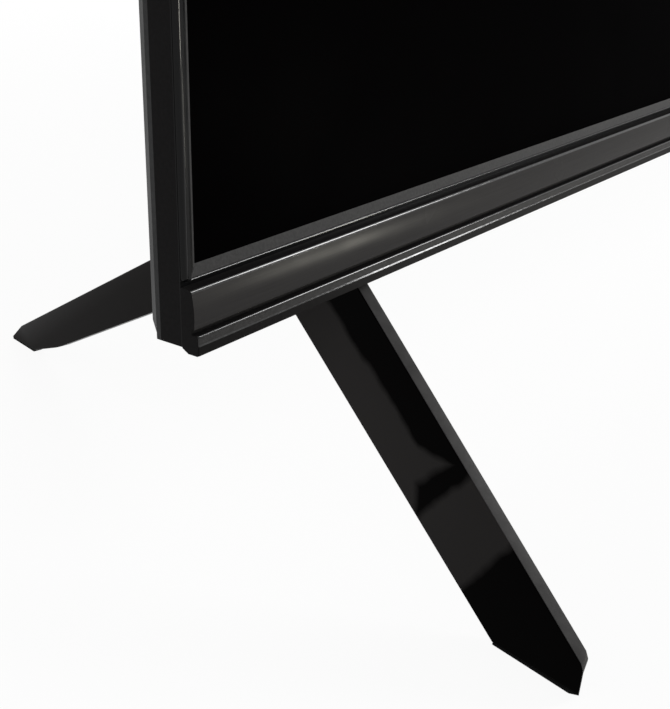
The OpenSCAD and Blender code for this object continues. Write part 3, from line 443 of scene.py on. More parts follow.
lens_clearness = 0.9
lens_finish = finish_of("lens_clear", (0.94, 0.95, 0.96), roughness=0.05, reflection=0.5)
lens_finish.node_tree.nodes["Principled BSDF"].inputs["Transmission Weight"].default_value = lens_clearness
vary(lens_finish, pattern(lens_finish, "Noise", 400), low=0.03, high=0.08)
dress(lens_finish, "led_lenses")

moulding_finish = finish_of("inner_moulding", (0.03, 0.03, 0.032), roughness=0.5, reflection=0.3)
tint(moulding_finish, pattern(moulding_finish, "Noise", 200), (0.025, 0.025, 0.027), (0.035, 0.035, 0.037))
relief(moulding_finish, pattern(moulding_finish, "Noise", 1800), depth=0.03 * mm)
dress(moulding_finish, "panel_frame", "left_speaker_box", "right_speaker_box")

# Circuit boards: glass laminate under green solder mask, and a tan one for the mains, on turned posts behind
# the tray. They carry a heat sink, a transformer and capacitors, and a ribbon and films lead to the glass.
mask_finish = finish_of("board_solder_mask", (0.01, 0.08, 0.045), roughness=0.35, reflection=0.4)
mask_tones = (0.006, 0.05, 0.028), (0.016, 0.1, 0.058)
tint(mask_finish, pattern(mask_finish, "Brick", 220), *mask_tones, start=0.2, end=0.8)
vary(mask_finish, pattern(mask_finish, "Noise", 300), low=0.28, high=0.45)
dress(mask_finish, "main_board", "timing_board", "panel_driver_board", "key_board", "ir_board")

laminate_finish = finish_of("board_tan_laminate", (0.2, 0.11, 0.03), roughness=0.5, reflection=0.3)
tint(laminate_finish, pattern(laminate_finish, "Noise", 120), (0.17, 0.09, 0.024), (0.23, 0.13, 0.038))
relief(laminate_finish, pattern(laminate_finish, "Wave", 900), depth=0.01 * mm)
dress(laminate_finish, "power_board")

post_finish = finish_of("post_bright_zinc", (0.6, 0.6, 0.6), roughness=0.3, reflection=0.5, metallic=1.0)
vary(post_finish, pattern(post_finish, "Noise", 900), low=0.24, high=0.4)
dress(post_finish, "board_standoffs", "board_screws")

sink_finish = finish_of("heatsink_anodised", (0.4, 0.41, 0.42), roughness=0.4, reflection=0.5, metallic=1.0)
relief(sink_finish, pattern(sink_finish, "Noise", 300, (1, 1, 0.02)), depth=0.02 * mm)
dress(sink_finish, "processor_heatsink")

ferrite_finish = finish_of("ferrite_grey", (0.05, 0.05, 0.048), roughness=0.6)
tint(ferrite_finish, pattern(ferrite_finish, "Noise", 900), (0.04, 0.04, 0.038), (0.065, 0.065, 0.062))
dress(ferrite_finish, "transformer", "left_speaker_magnet", "right_speaker_magnet")

sleeve_finish = finish_of("capacitor_sleeve", (0.02, 0.03, 0.09), roughness=0.3, reflection=0.5)
vary(sleeve_finish, pattern(sleeve_finish, "Noise", 250), low=0.22, high=0.4)
dress(sleeve_finish, "mains_capacitors")

film_finish = finish_of("film_amber", (0.3, 0.12, 0.02), roughness=0.3, reflection=0.5)
tint(film_finish, pattern(film_finish, "Wave", 400), (0.22, 0.085, 0.014), (0.34, 0.14, 0.024))
dress(film_finish, "panel_films")

ribbon_finish = finish_of("ribbon_white", (0.8, 0.79, 0.74), roughness=0.45)
tint(ribbon_finish, pattern(ribbon_finish, "Wave", 500), (0.55, 0.54, 0.5), (0.82, 0.81, 0.76))
dress(ribbon_finish, "panel_ribbon")

# Sockets: pressed shells of bright plate for video, memory and network plugs, a barrel for the aerial and a
# black moulding for headphones. They are soldered along the edge of the main board and look into the recess.
socket_edge = 0.12 * mm
plate_finish = finish_of(
    "socket_bright_plate", (0.62, 0.62, 0.63), roughness=0.22, reflection=0.5, metallic=1.0
)
vary(plate_finish, pattern(plate_finish, "Noise", 700), low=0.16, high=0.32)
relief(plate_finish, pattern(plate_finish, "Noise", 500, (0.05, 1, 1)), depth=0.01 * mm)
for sockets in ("hdmi_sockets", "usb_sockets", "network_socket", "antenna_socket"):
    shell = rounded_copy(sockets, sockets + "_shell", "set", plate_finish, socket_edge)
dress(plate_finish, "key_switches")

jack_finish = finish_of("socket_black_moulding", (0.012, 0.012, 0.013), roughness=0.3, reflection=0.4)
vary(jack_finish, pattern(jack_finish, "Noise", 600), low=0.24, high=0.4)
jack = rounded_copy("headphone_socket", "headphone_jack", "set", jack_finish, socket_edge)
dress(jack_finish, "ir_sensor")

# Mains inlet: a black moulded socket with two brass pins, snapped into the back of the cover from inside.
# No cord is plugged in.
inlet_edge = 0.3 * mm
inlet = rounded_copy("mains_inlet", "mains_inlet_moulding", "set", jack_finish, inlet_edge)
brass_finish = finish_of("pin_brass", (0.6, 0.45, 0.2), roughness=0.25, reflection=0.5, metallic=1.0)
vary(brass_finish, pattern(brass_finish, "Noise", 900), low=0.18, high=0.34)
pins = rounded_copy("inlet_pins", "inlet_pins_rounded", "set", brass_finish, inlet_edge)

# Push keys: seven small black caps that stand out of the underside of the cover and press on the key board.
# Each is moulded in fine matte plastic with soft edges and slides in its own window.
key_edge = 0.3 * mm
key_finish = finish_of("key_matte", (0.03, 0.03, 0.031), roughness=0.45, reflection=0.3)
tint(key_finish, pattern(key_finish, "Noise", 800), (0.026, 0.026, 0.027), (0.036, 0.036, 0.037))
relief(key_finish, pattern(key_finish, "Noise", 3000), depth=0.02 * mm)
for key in ("power", "source", "menu", "channel_up", "channel_down", "volume_up", "volume_down"):
    cap = rounded_copy("key_" + key, key + "_key_cap", key + "_key", key_finish, key_edge)

# Speakers: a driver in a closed box on each side, with a pressed basket, a ferrite magnet and a paper cone.
# The cone faces the slots in the underside of the cover and moves on its own body.
basket_finish = finish_of(
    "basket_pressed_steel", (0.2, 0.2, 0.21), roughness=0.4, reflection=0.5, metallic=0.8
)
vary(basket_finish, pattern(basket_finish, "Noise", 500), low=0.32, high=0.5)
dress(basket_finish, "left_speaker_basket", "right_speaker_basket")
cone_finish = finish_of("cone_coated_paper", (0.02, 0.02, 0.021), roughness=0.75, reflection=0.15)
tint(cone_finish, pattern(cone_finish, "Noise", 500), (0.014, 0.014, 0.015), (0.03, 0.03, 0.031))
relief(cone_finish, pattern(cone_finish, "Noise", 1200), depth=0.05 * mm)
dress(cone_finish, "left_speaker_cone", "right_speaker_cone")

# Glass: the liquid crystal panel, a thin laminate with a fine anti-glare etch, held between frame and ledge.
# Switched off it is almost black.
glass_finish = finish_of("glass_anti_glare", (0.0005, 0.0004, 0.0005), roughness=0.42, reflection=0.001)
vary(glass_finish, pattern(glass_finish, "Noise", 30), low=0.38, high=0.46)
relief(glass_finish, pattern(glass_finish, "Noise", 6000), depth=0.003 * mm)
dress(glass_finish, "lcd_panel")

# Front frame: a moulded bezel with a sloping lip round the glass, a flat side wall and a bead on its face.
# The face and the bead are polished, the lip and the side wall are fine matte. It clips over the panel frame.
frame_low, frame_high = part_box("front_frame")
face_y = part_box("chin_bar")[1].y
glass_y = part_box("lcd_panel")[0].y
bezel_w = 5.7 * mm
chin_h = 17.1 * mm
lip_w = 2.5 * mm
lip_step = 0.4 * mm
lip_line = 0.9 * mm
rim_band = 1.3 * mm
frame_wall = 1.8 * mm
frame_edge = 0.22 * mm
bead_r = 0.95 * mm
bead_in = 0.15 * mm
bead_bend = 1.6 * mm
bead_sides = 24
bead_end_turns = [math.radians(angle) for angle in (0, 25, 50, 72, 86)]
bead_smooth = math.radians(30)
bead_low = corner.z + 15.5 * mm
opening_low = corner.z + chin_h

lip_y = face_y + lip_step
line_y = glass_y + (lip_y - glass_y) * lip_line / lip_w

# Each ring of the section: its distance from the sides and the top, its lower height and its depth
frame_rings = [
    (bezel_w, opening_low, glass_y),
    (bezel_w - lip_line, opening_low - lip_line, line_y),
    (bezel_w - lip_w, opening_low - lip_w, lip_y),
    (bezel_w - lip_w, opening_low - lip_w, face_y),
    (0, frame_low.z, face_y),
    (0, frame_low.z, frame_high.y - rim_band),
    (0, frame_low.z, frame_high.y),
    (frame_wall, frame_low.z + frame_wall, frame_high.y),
    (frame_wall, frame_low.z + frame_wall, glass_y),
    (bezel_w, opening_low, glass_y),
]
ring_sizes = [
    Vector((frame_high.x - frame_low.x - 2 * margin, 1, frame_high.z - margin - low))
    for margin, low, depth in frame_rings
]
ring_middles = [Vector((0, depth, (frame_high.z - margin + low) / 2)) for margin, low, depth in frame_rings]
bpy.ops.object.select_all(action="DESELECT")
bpy.ops.mesh.primitive_plane_add(size=1, rotation=(math.pi / 2, 0, 0))
front_frame = bpy.context.object
front_frame.name = "front_frame_moulding"
bpy.ops.object.transform_apply(location=True, rotation=True, scale=True)
bpy.ops.object.mode_set(mode="EDIT")
bpy.ops.mesh.select_all(action="SELECT")
bpy.ops.mesh.delete(type="ONLY_FACE")
bpy.ops.mesh.select_all(action="SELECT")
bpy.ops.transform.resize(value=ring_sizes[0], center_override=(0, 0, 0))
bpy.ops.transform.translate(value=ring_middles[0])
for ring in range(1, len(frame_rings)):
    growth = [new / old for new, old in zip(ring_sizes[ring], ring_sizes[ring - 1])]
    bpy.ops.mesh.extrude_edges_move()
    bpy.ops.transform.resize(value=growth, center_override=ring_middles[ring - 1])
    bpy.ops.transform.translate(value=ring_middles[ring] - ring_middles[ring - 1])
bpy.ops.mesh.select_all(action="SELECT")
bpy.ops.mesh.remove_doubles(threshold=weld)
bpy.ops.mesh.normals_make_consistent(inside=False)
bpy.ops.object.mode_set(mode="OBJECT")
round_edges(front_frame, frame_edge, segments=3)

# The bead runs from the middle of the top round a corner and down to a round end, and is mirrored
bead_side = frame_high.x - bead_r - bead_in
bead_top = frame_high.z - bead_r - bead_in
bpy.ops.object.select_all(action="DESELECT")
bpy.ops.mesh.primitive_circle_add(
    vertices=bead_sides, radius=bead_r, location=(0, face_y, bead_top), rotation=(0, math.pi / 2, 0)
)
bead = bpy.context.object
bpy.ops.object.transform_apply(location=True, rotation=True, scale=True)
bpy.ops.object.mode_set(mode="EDIT")
bpy.ops.mesh.select_all(action="SELECT")
bpy.ops.mesh.extrude_edges_move(TRANSFORM_OT_translate={"value": (bead_bend - bead_side, 0, 0)})
bpy.ops.mesh.spin(
    steps=8, angle=math.pi / 2, axis=(0, 1, 0), center=(bead_bend - bead_side, face_y, bead_top - bead_bend)
)
bpy.ops.mesh.extrude_edges_move(TRANSFORM_OT_translate={"value": (0, 0, bead_low - bead_top + bead_bend)})
for before, turn in zip(bead_end_turns, bead_end_turns[1:]):
    drop = bead_r * (math.sin(before) - math.sin(turn))
    shrink = math.cos(turn) / math.cos(before)
    bpy.ops.mesh.extrude_edges_move(TRANSFORM_OT_translate={"value": (0, 0, drop)})
    bpy.ops.transform.resize(value=(shrink, shrink, 1))
bpy.ops.mesh.edge_face_add()
bpy.ops.object.mode_set(mode="OBJECT")
bpy.ops.object.modifier_add(type="MIRROR")
bpy.ops.object.modifier_apply(modifier=bead.modifiers[-1].name)
bpy.ops.object.mode_set(mode="EDIT")
bpy.ops.mesh.select_all(action="SELECT")
bpy.ops.mesh.normals_make_consistent(inside=False)
bpy.ops.object.mode_set(mode="OBJECT")
combine(front_frame, bead, "UNION")
bpy.ops.object.shade_smooth_by_angle(angle=bead_smooth)

frame_gloss = finish_of("frame_polished", (0.003, 0.003, 0.0032), roughness=0.12, reflection=0.14)
vary(frame_gloss, pattern(frame_gloss, "Noise", 120), low=0.08, high=0.16)
relief(frame_gloss, pattern(frame_gloss, "Noise", 250), depth=0.004 * mm)
wall_matte = finish_of("frame_wall_matte", (0.005, 0.005, 0.0052), roughness=0.5, reflection=0.05)
tint(wall_matte, pattern(wall_matte, "Noise", 1200), (0.0038, 0.0035, 0.0036), (0.0062, 0.0056, 0.0058))
relief(wall_matte, pattern(wall_matte, "Noise", 3000), depth=0.02 * mm)
lip_matte = finish_of("frame_lip_matte", (0.025, 0.025, 0.026), roughness=0.55, reflection=0.08)
tint(lip_matte, pattern(lip_matte, "Noise", 1500), (0.0222, 0.022, 0.0222), (0.034, 0.0332, 0.0335))
relief(lip_matte, pattern(lip_matte, "Noise", 3500), depth=0.03 * mm)
buffed_edge = finish_of("edge_buffed", (0.01, 0.01, 0.01), roughness=0.1, reflection=0.45)
vary(buffed_edge, pattern(buffed_edge, "Noise", 900), low=0.06, high=0.18)
for finish in (frame_gloss, wall_matte, lip_matte, buffed_edge, cover_finish):
    front_frame.data.materials.append(finish)
polished, matte, lip, buffed, band = range(5)
lip_outside = bezel_w - lip_w
edge_facing = (0.3, 0.97)
side_facing = 0.5
for face in front_frame.data.polygons:
    place = face.center
    faces_sideways = abs(face.normal.y) < side_facing
    from_side = frame_high.x - abs(place.x)
    from_top = frame_high.z - place.z
    in_lip = min(from_side, from_top) > lip_outside and place.z > opening_low - lip_w
    if in_lip and place.y > lip_y - frame_edge:
        face.material_index = polished if from_side < bezel_w - lip_line else lip
    elif abs(place.z - opening_low + lip_w) < frame_edge and edge_facing[0] < face.normal.z < edge_facing[1]:
        face.material_index = buffed
    elif faces_sideways and place.y > frame_high.y - rim_band:
        face.material_index = band
    elif faces_sideways and place.y > face_y + frame_edge:
        face.material_index = matte
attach(front_frame, "set")
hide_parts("front_frame")

# Chin bar: an extruded bar along the bottom of the set, with a crowned satin face, a groove and a flat bead.
# It is brushed along its length, its edges are softened, and it is glued to the frame.
chin_low, chin_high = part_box("chin_bar")
chin_end_r = 0.8 * mm
chin_end_steps = 4
chin_crown = 0.3 * mm
chin_foot_in = 0.15 * mm
chin_sole = 2.7 * mm
chin_heel = 0.9 * mm
chin_bead_low = 2.0 * mm
chin_bead_top = 4.3 * mm
chin_bead_r = 0.45 * mm
ridge_h = 0.3 * mm
ridge_d = 0.16 * mm
groove_top = 5.4 * mm
groove_depth = 1.8 * mm
face_in = 0.9 * mm
face_lean = 0.4 * mm
face_low_r = 0.15 * mm
chin_top_r = 0.7 * mm
chin_smooth = math.radians(20)
quarter_rise = 1 - math.sqrt(0.5)
same_place = 0.01 * mm


def arc(first, last, rise, steps):
    """The points of a flat arc between two points, which stands out to the right of the way by a rise"""
    out = Vector((last.y - first.y, first.x - last.x)).normalized()
    return [
        first.lerp(last, step / steps) + out * rise * (1 - (2 * step / steps - 1) ** 2)
        for step in range(steps + 1)
    ]


def draw_outline(name, points):
    """A flat face with the given corners, drawn from corner to corner in edit mode"""
    bpy.ops.object.select_all(action="DESELECT")
    bpy.ops.mesh.primitive_plane_add(size=1)
    piece = bpy.context.object
    piece.name = name
    bpy.ops.object.mode_set(mode="EDIT")
    bpy.ops.mesh.select_all(action="SELECT")
    bpy.ops.mesh.merge(type="CENTER")
    bpy.ops.transform.translate(value=points[0])
    for before, point in zip(points, points[1:]):
        bpy.ops.mesh.extrude_vertices_move(TRANSFORM_OT_translate={"value": point - before})
    bpy.ops.mesh.select_all(action="SELECT")
    bpy.ops.mesh.edge_face_add()
    bpy.ops.object.mode_set(mode="OBJECT")
    return piece


chin_depth = chin_high.y - chin_low.y
chin_bar_h = chin_high.z - chin_low.z
crown_low = Vector((face_in, groove_top + face_low_r))
crown_high = Vector((face_in + face_lean, chin_bar_h - chin_top_r))
top_start = Vector((crown_high.x + chin_top_r, chin_bar_h))
face_end = Vector((face_in + face_low_r, groove_top))
bead_start = Vector((chin_bead_r, chin_bead_top))
bead_front = Vector((0, chin_bead_top - chin_bead_r))
chin_section = [
    Vector((chin_foot_in, 0)),
    Vector((chin_sole, 0)),
    Vector((chin_depth, chin_heel)),
    Vector((chin_depth, chin_bar_h)),
]
chin_section += arc(top_start, crown_high, chin_top_r * quarter_rise, steps=6)
chin_section += arc(crown_high, crown_low, chin_crown, steps=10)[1:]
chin_section += arc(crown_low, face_end, face_low_r * quarter_rise, steps=3)[1:]
chin_section += [Vector((groove_depth, groove_top)), Vector((groove_depth, chin_bead_top))]
chin_section += arc(bead_start, bead_front, chin_bead_r * quarter_rise, steps=5)
chin_section += [
    Vector((ridge_d, bead_front.y - ridge_d)),
    Vector((ridge_d, chin_bead_low + ridge_h)),
    Vector((0, chin_bead_low)),
]
chin_bar = draw_outline(
    "chin_bar_brushed", [chin_low + Vector((0, point.x, point.y)) for point in chin_section]
)
end_turns = [math.pi / 2 * step / chin_end_steps for step in range(chin_end_steps + 1)]
end_stations = [(chin_end_r * (1 - math.sin(turn)), chin_end_r * (1 - math.cos(turn))) for turn in end_turns]
chin_stations = [chin_low.x + inward for inward, setback in reversed(end_stations)]
chin_stations += [chin_high.x - inward for inward, setback in end_stations]
take(chin_bar)
bpy.ops.object.mode_set(mode="EDIT")
bpy.ops.mesh.select_all(action="SELECT")
for before, station in zip(chin_stations, chin_stations[1:]):
    bpy.ops.mesh.extrude_region_move(TRANSFORM_OT_translate={"value": (station - before, 0, 0)})
bpy.ops.mesh.select_all(action="SELECT")
bpy.ops.mesh.normals_make_consistent(inside=False)
bpy.ops.object.mode_set(mode="OBJECT")
for inward, setback in end_stations[:-1]:
    limit = chin_low.y + setback
    reach = chin_high.x - inward
    pick(chin_bar, lambda place: abs(abs(place.x) - reach) < same_place and place.y < limit)
    bpy.ops.transform.resize(value=(1, 0, 1), center_override=(0, limit, 0))
    bpy.ops.object.mode_set(mode="OBJECT")
take(chin_bar)
bpy.ops.object.mode_set(mode="EDIT")
bpy.ops.mesh.select_all(action="SELECT")
bpy.ops.mesh.remove_doubles(threshold=weld)
bpy.ops.mesh.dissolve_degenerate(threshold=weld)
bpy.ops.object.mode_set(mode="OBJECT")
bpy.ops.object.shade_smooth_by_angle(angle=chin_smooth)

chin_finish = finish_of("chin_satin_hairline", (0.028, 0.027, 0.0268), roughness=0.27, reflection=0.02)
hairline = (0.6, 60, 60)
chin_tones = (0.0252, 0.0242, 0.0242), (0.0298, 0.0287, 0.0286)
tint(chin_finish, pattern(chin_finish, "Noise", 60, hairline), *chin_tones)
vary(chin_finish, pattern(chin_finish, "Noise", 70), low=0.2, high=0.28)
relief(chin_finish, pattern(chin_finish, "Noise", 60, hairline), depth=0.004 * mm)
for finish in (chin_finish, buffed_edge, wall_matte, lip_matte):
    chin_bar.data.materials.append(finish)
chin_face, chin_edge, chin_painted_shade, chin_bead = range(4)
end_facing = 0.7
top_facing = 0.97
bead_facing = 0.3
# Painted shade: the groove, the ends, the top and the faces below the bead take the near-black matte of the
# side wall, darker than the satin face, where shade falls on the bar
for face in chin_bar.data.polygons:
    height = face.center.z - chin_low.z
    depth = face.center.y - chin_low.y
    in_groove = chin_bead_top - ridge_d < height < groove_top and depth > chin_bead_r
    at_end_or_top = abs(face.normal.x) > end_facing or face.normal.z > top_facing
    if at_end_or_top or height < chin_bead_low or in_groove:
        face.material_index = chin_painted_shade
    elif height < chin_bead_top and face.normal.z < bead_facing:
        face.material_index = chin_bead
    elif height < chin_bead_top or height > chin_bar_h - chin_top_r:
        face.material_index = chin_edge
    else:
        face.material_index = chin_face
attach(chin_bar, "set")
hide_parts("chin_bar")

# Receiver window: a small light guide in dark tinted plastic, with softened edges and a lip under the frame.
# It is pressed up through a slot, to the board with the remote control's receiver.
window_edge = 0.15 * mm
window_finish = finish_of("window_tinted", (0.02, 0.005, 0.005), roughness=0.12, reflection=0.5)
vary(window_finish, pattern(window_finish, "Noise", 300), low=0.08, high=0.18)
window = rounded_copy("ir_window", "receiver_window", "set", window_finish, window_edge)

# Feet: each an inverted V cut from steel plate, with a wide front leg and a slim rear leg, and bent into a
# flange on top. They are painted black, glossy on the faces and satin on the edges. They splay outwards and
# are screwed to the underside of the set.
foot_low, foot_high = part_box("left_foot")
toe_out = math.radians(12.8)
foot_t = 3.6 * mm
front_reach = 103.6 * mm
rear_reach = 163 * mm
front_toe = 24.3 * mm
rear_toe = 16.5 * mm
toe_tuck = 1.7 * mm
nose_h = 8.7 * mm
knee_back = 0.8 * mm
nose_slant = Vector((0, -1.5, -1.3)) * mm
tuck_slant = Vector((0, -2.8, 0.5)) * mm
toe_h = 10.4 * mm
rear_knee = Vector((7.8, 7.4)) * mm
rear_bend = Vector((36, 7.9)) * mm
crotch_r = 3 * mm
foot_top = 54 * mm
foot_edge = 0.35 * mm
bend_r = 2.5 * mm
apex = Vector((5.3, 68.8)) * mm
web_h = 6.4 * mm
flange_l = 38 * mm
flange_w = 24 * mm
plate_drop = 2.3 * mm
seam_gap = 0.01 * mm
corner_near = 0.1 * mm
bend_sharp = 40
foot_smooth = math.radians(30)

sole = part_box("foot_pads")[1].z
flange_z = foot_high.z
plate_z = flange_z - plate_drop
# The rounding takes about this much off the sharp tip of the rear toe
tip_trim = 1.7 * foot_edge
foot_place = Vector((
    foot_low.x + front_reach * math.sin(toe_out),
    foot_low.y + foot_t * math.sin(toe_out) + front_reach * math.cos(toe_out),
    0,
))
bend_place = Vector((rear_reach - rear_bend.x, rear_bend.y))
foot_outline = [
    Vector(point)
    for point in (
        (front_toe - front_reach, sole), (toe_tuck - front_reach, sole), (-front_reach, nose_h),
        (knee_back - front_reach, toe_h), (-foot_top / 2, plate_z), (foot_top / 2, plate_z),
        (rear_reach - rear_knee.x, rear_knee.y), (rear_reach + tip_trim, sole), (rear_reach - rear_toe, sole),
        bend_place, apex,
    )
]
left_foot = draw_outline("left_foot_plate", [Vector((0, point.x, point.y)) for point in foot_outline])
inner_corners = [Vector((0, point.x, point.y)) for point in (bend_place, apex)]
pick(left_foot, lambda place: any((place - inner).length < corner_near for inner in inner_corners))
bpy.ops.mesh.bevel(offset=crotch_r, segments=6, affect="VERTICES")
bpy.ops.mesh.select_all(action="SELECT")
bpy.ops.mesh.extrude_region_move(TRANSFORM_OT_translate={"value": (foot_t, 0, 0)})
bpy.ops.mesh.select_all(action="SELECT")
bpy.ops.mesh.normals_make_consistent(inside=False)
bpy.ops.object.mode_set(mode="OBJECT")
nose_back = toe_tuck - front_reach + foot_edge
for low, high, slant in ((0, nose_h / 2, tuck_slant), (nose_h / 2, toe_h + foot_edge, nose_slant)):
    pick(left_foot, lambda place: place.x < foot_t / 2 and place.y < nose_back and low < place.z < high)
    bpy.ops.transform.translate(value=slant)
    bpy.ops.object.mode_set(mode="OBJECT")
round_edges(left_foot, foot_edge, segments=3)

flange_front = foot_top / 2 - flange_l
flange_in, flange_out = seam_gap, foot_t - seam_gap
outer_corner = Vector((flange_in, flange_front, flange_z))
inner_corner = Vector((flange_out, flange_front, flange_z - foot_t))
flange_low = plate_z - web_h / 2
flange = draw_outline("foot_flange", [
    Vector((flange_in, flange_front, flange_low)),
    outer_corner,
    Vector((foot_t + flange_w, flange_front, flange_z)),
    Vector((foot_t + flange_w, flange_front, flange_z - foot_t)),
    inner_corner,
    Vector((flange_out, flange_front, flange_low)),
])
flange_corners = (outer_corner, inner_corner)
pick(flange, lambda place: any((place - bent).length < corner_near for bent in flange_corners))
bpy.ops.mesh.bevel(offset=bend_r, segments=8, affect="VERTICES")
bpy.ops.mesh.select_all(action="SELECT")
bpy.ops.mesh.extrude_region_move(TRANSFORM_OT_translate={"value": (0, flange_l, 0)})
bpy.ops.mesh.select_all(action="SELECT")
bpy.ops.mesh.normals_make_consistent(inside=False)
bpy.ops.object.mode_set(mode="OBJECT")
round_edges(flange, foot_edge, segments=3, sharp=bend_sharp)
combine(left_foot, flange, "UNION")
bpy.ops.object.shade_smooth_by_angle(angle=foot_smooth)

foot_paint_and_reflection = finish_of("foot_gloss_paint_and_painted_reflection", (0.006, 0.006, 0.0055), roughness=0.16, reflection=0.008)
# The dark tone is the paint itself, the light tone is a painted reflection, and it is painted weaker on the
# rear leg and lower down
painted_reflection_tones = (0.0008, 0.0006, 0.0006), (0.03, 0.0282, 0.0276)
painted_reflection_edge = 1.0 * mm
painted_reflection_wander = 4 * mm
painted_reflection_fade_at = -10
painted_reflection_rise = 12.5
painted_reflection_fall = 3.6
painted_reflection_mean = 0.76
painted_reflection_rear = 0.5
line_top = 80


def mixed(finish, operation, first, second):
    """The value of two sockets, or of a socket and a number, under an operation"""
    node = finish.node_tree.nodes.new("ShaderNodeMath")
    node.operation = operation
    for value, socket in zip((first, second), node.inputs):
        if isinstance(value, float):
            socket.default_value = value
        else:
            finish.node_tree.links.new(value, socket)
    return node.outputs[0]


def past_line(finish, start, end):
    """How far a point of the plate lies in front of a line down its face, given by its depth and height"""
    nodes, links = finish.node_tree.nodes, finish.node_tree.links
    along = (end - start).normalized()
    ahead = Vector((0, along.y, -along.x))
    behind_zero = ahead.dot(Vector((0, start.x, start.y)))
    place = nodes.new("ShaderNodeTexCoord")
    project = nodes.new("ShaderNodeVectorMath")
    project.operation = "DOT_PRODUCT"
    project.inputs[1].default_value = ahead
    links.new(place.outputs["Object"], project.inputs[0])
    return mixed(finish, "SUBTRACT", project.outputs["Value"], behind_zero)


def on_plate(back, height):
    """A place on the outer face of the plate, in millimetres, as depth and height in the frame"""
    return Vector((foot_place.y + back * math.cos(toe_out) * mm, height * mm))


# Painted reflection: pale patches are painted down the middle of the plate in place of reflections of the
# surroundings in the gloss, and it stays deep black between them
upper_front = past_line(foot_paint_and_reflection, on_plate(-20, 67.5), on_plate(-50, 44))
upper_end = past_line(foot_paint_and_reflection, on_plate(-50, 42), on_plate(-66, 41))
toe_part = past_line(foot_paint_and_reflection, on_plate(-82, 26), on_plate(-71, 10.5))
bar_top = past_line(foot_paint_and_reflection, on_plate(-64.5, 40), on_plate(-51, 28))
bar_bottom = past_line(foot_paint_and_reflection, on_plate(-56.5, 27), on_plate(-67, 38.5))
bar_end = past_line(foot_paint_and_reflection, on_plate(-53.5, line_top), on_plate(-53.5, 0))
# clear: how far a point lies in the deep black outside the painted reflection patches
clear = mixed(foot_paint_and_reflection, "MINIMUM", upper_front, upper_end)
bar = mixed(foot_paint_and_reflection, "MINIMUM", mixed(foot_paint_and_reflection, "MINIMUM", bar_top, bar_bottom), bar_end)
clear = mixed(foot_paint_and_reflection, "MAXIMUM", mixed(foot_paint_and_reflection, "MAXIMUM", clear, bar), toe_part)
wander = mixed(foot_paint_and_reflection, "MULTIPLY", pattern(foot_paint_and_reflection, "Noise", 90), painted_reflection_wander)
clear = mixed(foot_paint_and_reflection, "ADD", clear, mixed(foot_paint_and_reflection, "SUBTRACT", wander, painted_reflection_wander / 2))
painted_reflection = mixed(foot_paint_and_reflection, "MINIMUM", mixed(foot_paint_and_reflection, "MULTIPLY", clear, -0.5 / painted_reflection_edge), 1.0)
front_leg = past_line(foot_paint_and_reflection, on_plate(painted_reflection_fade_at, line_top), on_plate(painted_reflection_fade_at, 0))
rise = mixed(foot_paint_and_reflection, "ADD", mixed(foot_paint_and_reflection, "MULTIPLY", front_leg, painted_reflection_rise), painted_reflection_mean)
fall = mixed(foot_paint_and_reflection, "ADD", mixed(foot_paint_and_reflection, "MULTIPLY", front_leg, -painted_reflection_fall), 1.0)
painted_reflection_strength = mixed(foot_paint_and_reflection, "MAXIMUM", mixed(foot_paint_and_reflection, "MINIMUM", rise, fall), painted_reflection_rear)
painted_reflection = mixed(foot_paint_and_reflection, "MULTIPLY", painted_reflection, painted_reflection_strength)
tint(foot_paint_and_reflection, painted_reflection, *painted_reflection_tones, start=0.0, end=1.0)
vary(foot_paint_and_reflection, pattern(foot_paint_and_reflection, "Noise", 60), low=0.12, high=0.22)
relief(foot_paint_and_reflection, pattern(foot_paint_and_reflection, "Noise", 500), depth=0.006 * mm)
edge_paint = finish_of("foot_edge_paint", (0.04, 0.039, 0.0385), roughness=0.3, reflection=0.05)
tint(edge_paint, pattern(edge_paint, "Noise", 300), (0.034, 0.033, 0.0328), (0.046, 0.045, 0.0446))
vary(edge_paint, pattern(edge_paint, "Noise", 140), low=0.25, high=0.35)
relief(edge_paint, pattern(edge_paint, "Noise", 900), depth=0.01 * mm)
left_foot.data.materials.append(foot_paint_and_reflection)
left_foot.data.materials.append(edge_paint)
plate_facing = 0.6
for face in left_foot.data.polygons:
    face.material_index = int(abs(face.normal.x) < plate_facing)
turned(left_foot, z=-toe_out)
copy_to(left_foot, [foot_place])

take(left_foot)
bpy.ops.object.duplicate()
right_foot = bpy.context.object
right_foot.name = "right_foot_plate"
right_foot.scale.x = -1
bpy.ops.object.transform_apply(location=False, rotation=False, scale=True)
bpy.ops.object.mode_set(mode="EDIT")
bpy.ops.mesh.select_all(action="SELECT")
bpy.ops.mesh.normals_make_consistent(inside=False)
bpy.ops.object.mode_set(mode="OBJECT")
for foot, node in ((left_foot, "left_foot"), (right_foot, "right_foot")):
    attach(foot, "set")
    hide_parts(node)

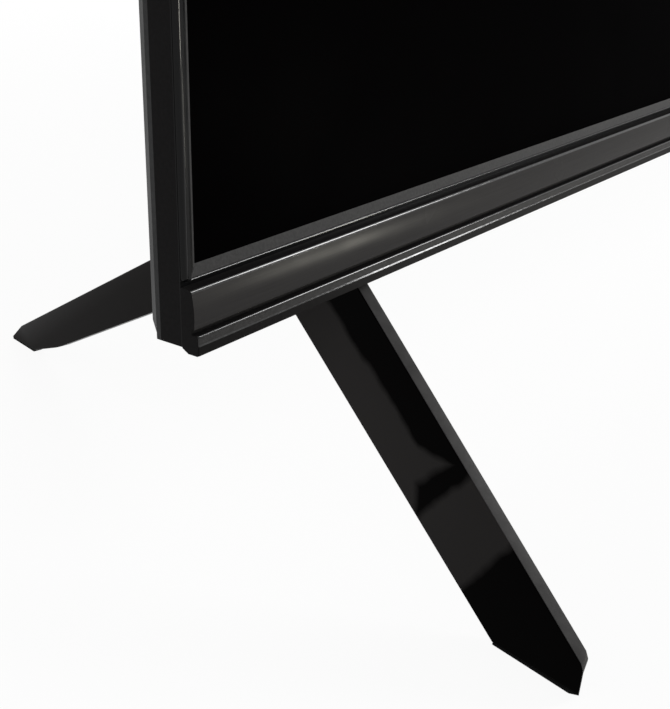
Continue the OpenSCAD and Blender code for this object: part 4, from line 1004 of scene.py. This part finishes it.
# Foot pads: strips of black rubber glued under the four toes, which keep the feet from sliding.
# They are cut to the width of the plate, and the front ones slope up to its nose.
pad_in = 0.1 * mm
pad_edge = 0.08 * mm
rubber_finish = finish_of("pad_rubber", (0.004, 0.004, 0.004), roughness=0.8, reflection=0.05)
tint(rubber_finish, pattern(rubber_finish, "Noise", 700), (0.003, 0.003, 0.003), (0.006, 0.006, 0.006))
relief(rubber_finish, pattern(rubber_finish, "Noise", 2000), depth=0.03 * mm)
pad_pair = []
for front, back in ((toe_tuck - front_reach, front_toe - front_reach), (rear_reach - rear_toe, rear_reach)):
    pad = draw_outline("rubber_pads", [
        Vector((pad_in, front, 0)),
        Vector((foot_t - pad_in, front, 0)),
        Vector((foot_t - pad_in, back - pad_in, 0)),
        Vector((pad_in, back - pad_in, 0)),
    ])
    take(pad)
    bpy.ops.object.mode_set(mode="EDIT")
    bpy.ops.mesh.select_all(action="SELECT")
    bpy.ops.mesh.extrude_region_move(TRANSFORM_OT_translate={"value": (0, 0, sole)})
    bpy.ops.object.mode_set(mode="OBJECT")
    pick(pad, lambda place: place.x < foot_t / 2 and place.y < nose_back and place.z > sole / 2)
    bpy.ops.transform.translate(value=tuck_slant)
    bpy.ops.object.mode_set(mode="OBJECT")
    pad_pair.append(pad)
pads, rear_pad = pad_pair
take(pads)
rear_pad.select_set(True)
bpy.ops.object.join()
round_edges(pads, pad_edge)
turned(pads, z=-toe_out)
copy_to(pads, [foot_place])
take(pads)
bpy.ops.object.modifier_add(type="MIRROR")
bpy.ops.object.modifier_apply(modifier=pads.modifiers[-1].name)
bpy.ops.object.mode_set(mode="EDIT")
bpy.ops.mesh.select_all(action="SELECT")
bpy.ops.mesh.normals_make_consistent(inside=False)
bpy.ops.object.mode_set(mode="OBJECT")
pads.data.materials.append(rubber_finish)
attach(pads, "set")
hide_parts("foot_pads")

# Foot screws: two black zinc pan heads with a cross recess under each flange.
# They pass through the flange and the cover into a steel bracket.
foot_screws_low, foot_screws_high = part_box("foot_screws")
foot_head_r = 3.6 * mm
foot_head_h = 2.4 * mm
foot_shank_r = 1.9 * mm
foot_screw_out = 14.6 * mm
foot_screw_back = (-5 * mm, 18 * mm)
foot_screw_l = foot_screws_high.z - foot_screws_low.z - foot_head_h
to_foot = Matrix.Translation(foot_place) @ Matrix.Rotation(-toe_out, 4, "Z")
left_seats = [to_foot @ Vector((foot_screw_out, back, flange_z - foot_t)) for back in foot_screw_back]
right_seats = [Vector((-seat.x, seat.y, seat.z)) for seat in left_seats]
foot_screws = pan_screw("foot_pan_screws", foot_head_r, foot_head_h, foot_shank_r, foot_screw_l)
turned(foot_screws, x=math.pi)
copy_to(foot_screws, left_seats + right_seats)
foot_screws.data.materials.append(screw_finish)
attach(foot_screws, "set")
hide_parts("foot_screws")
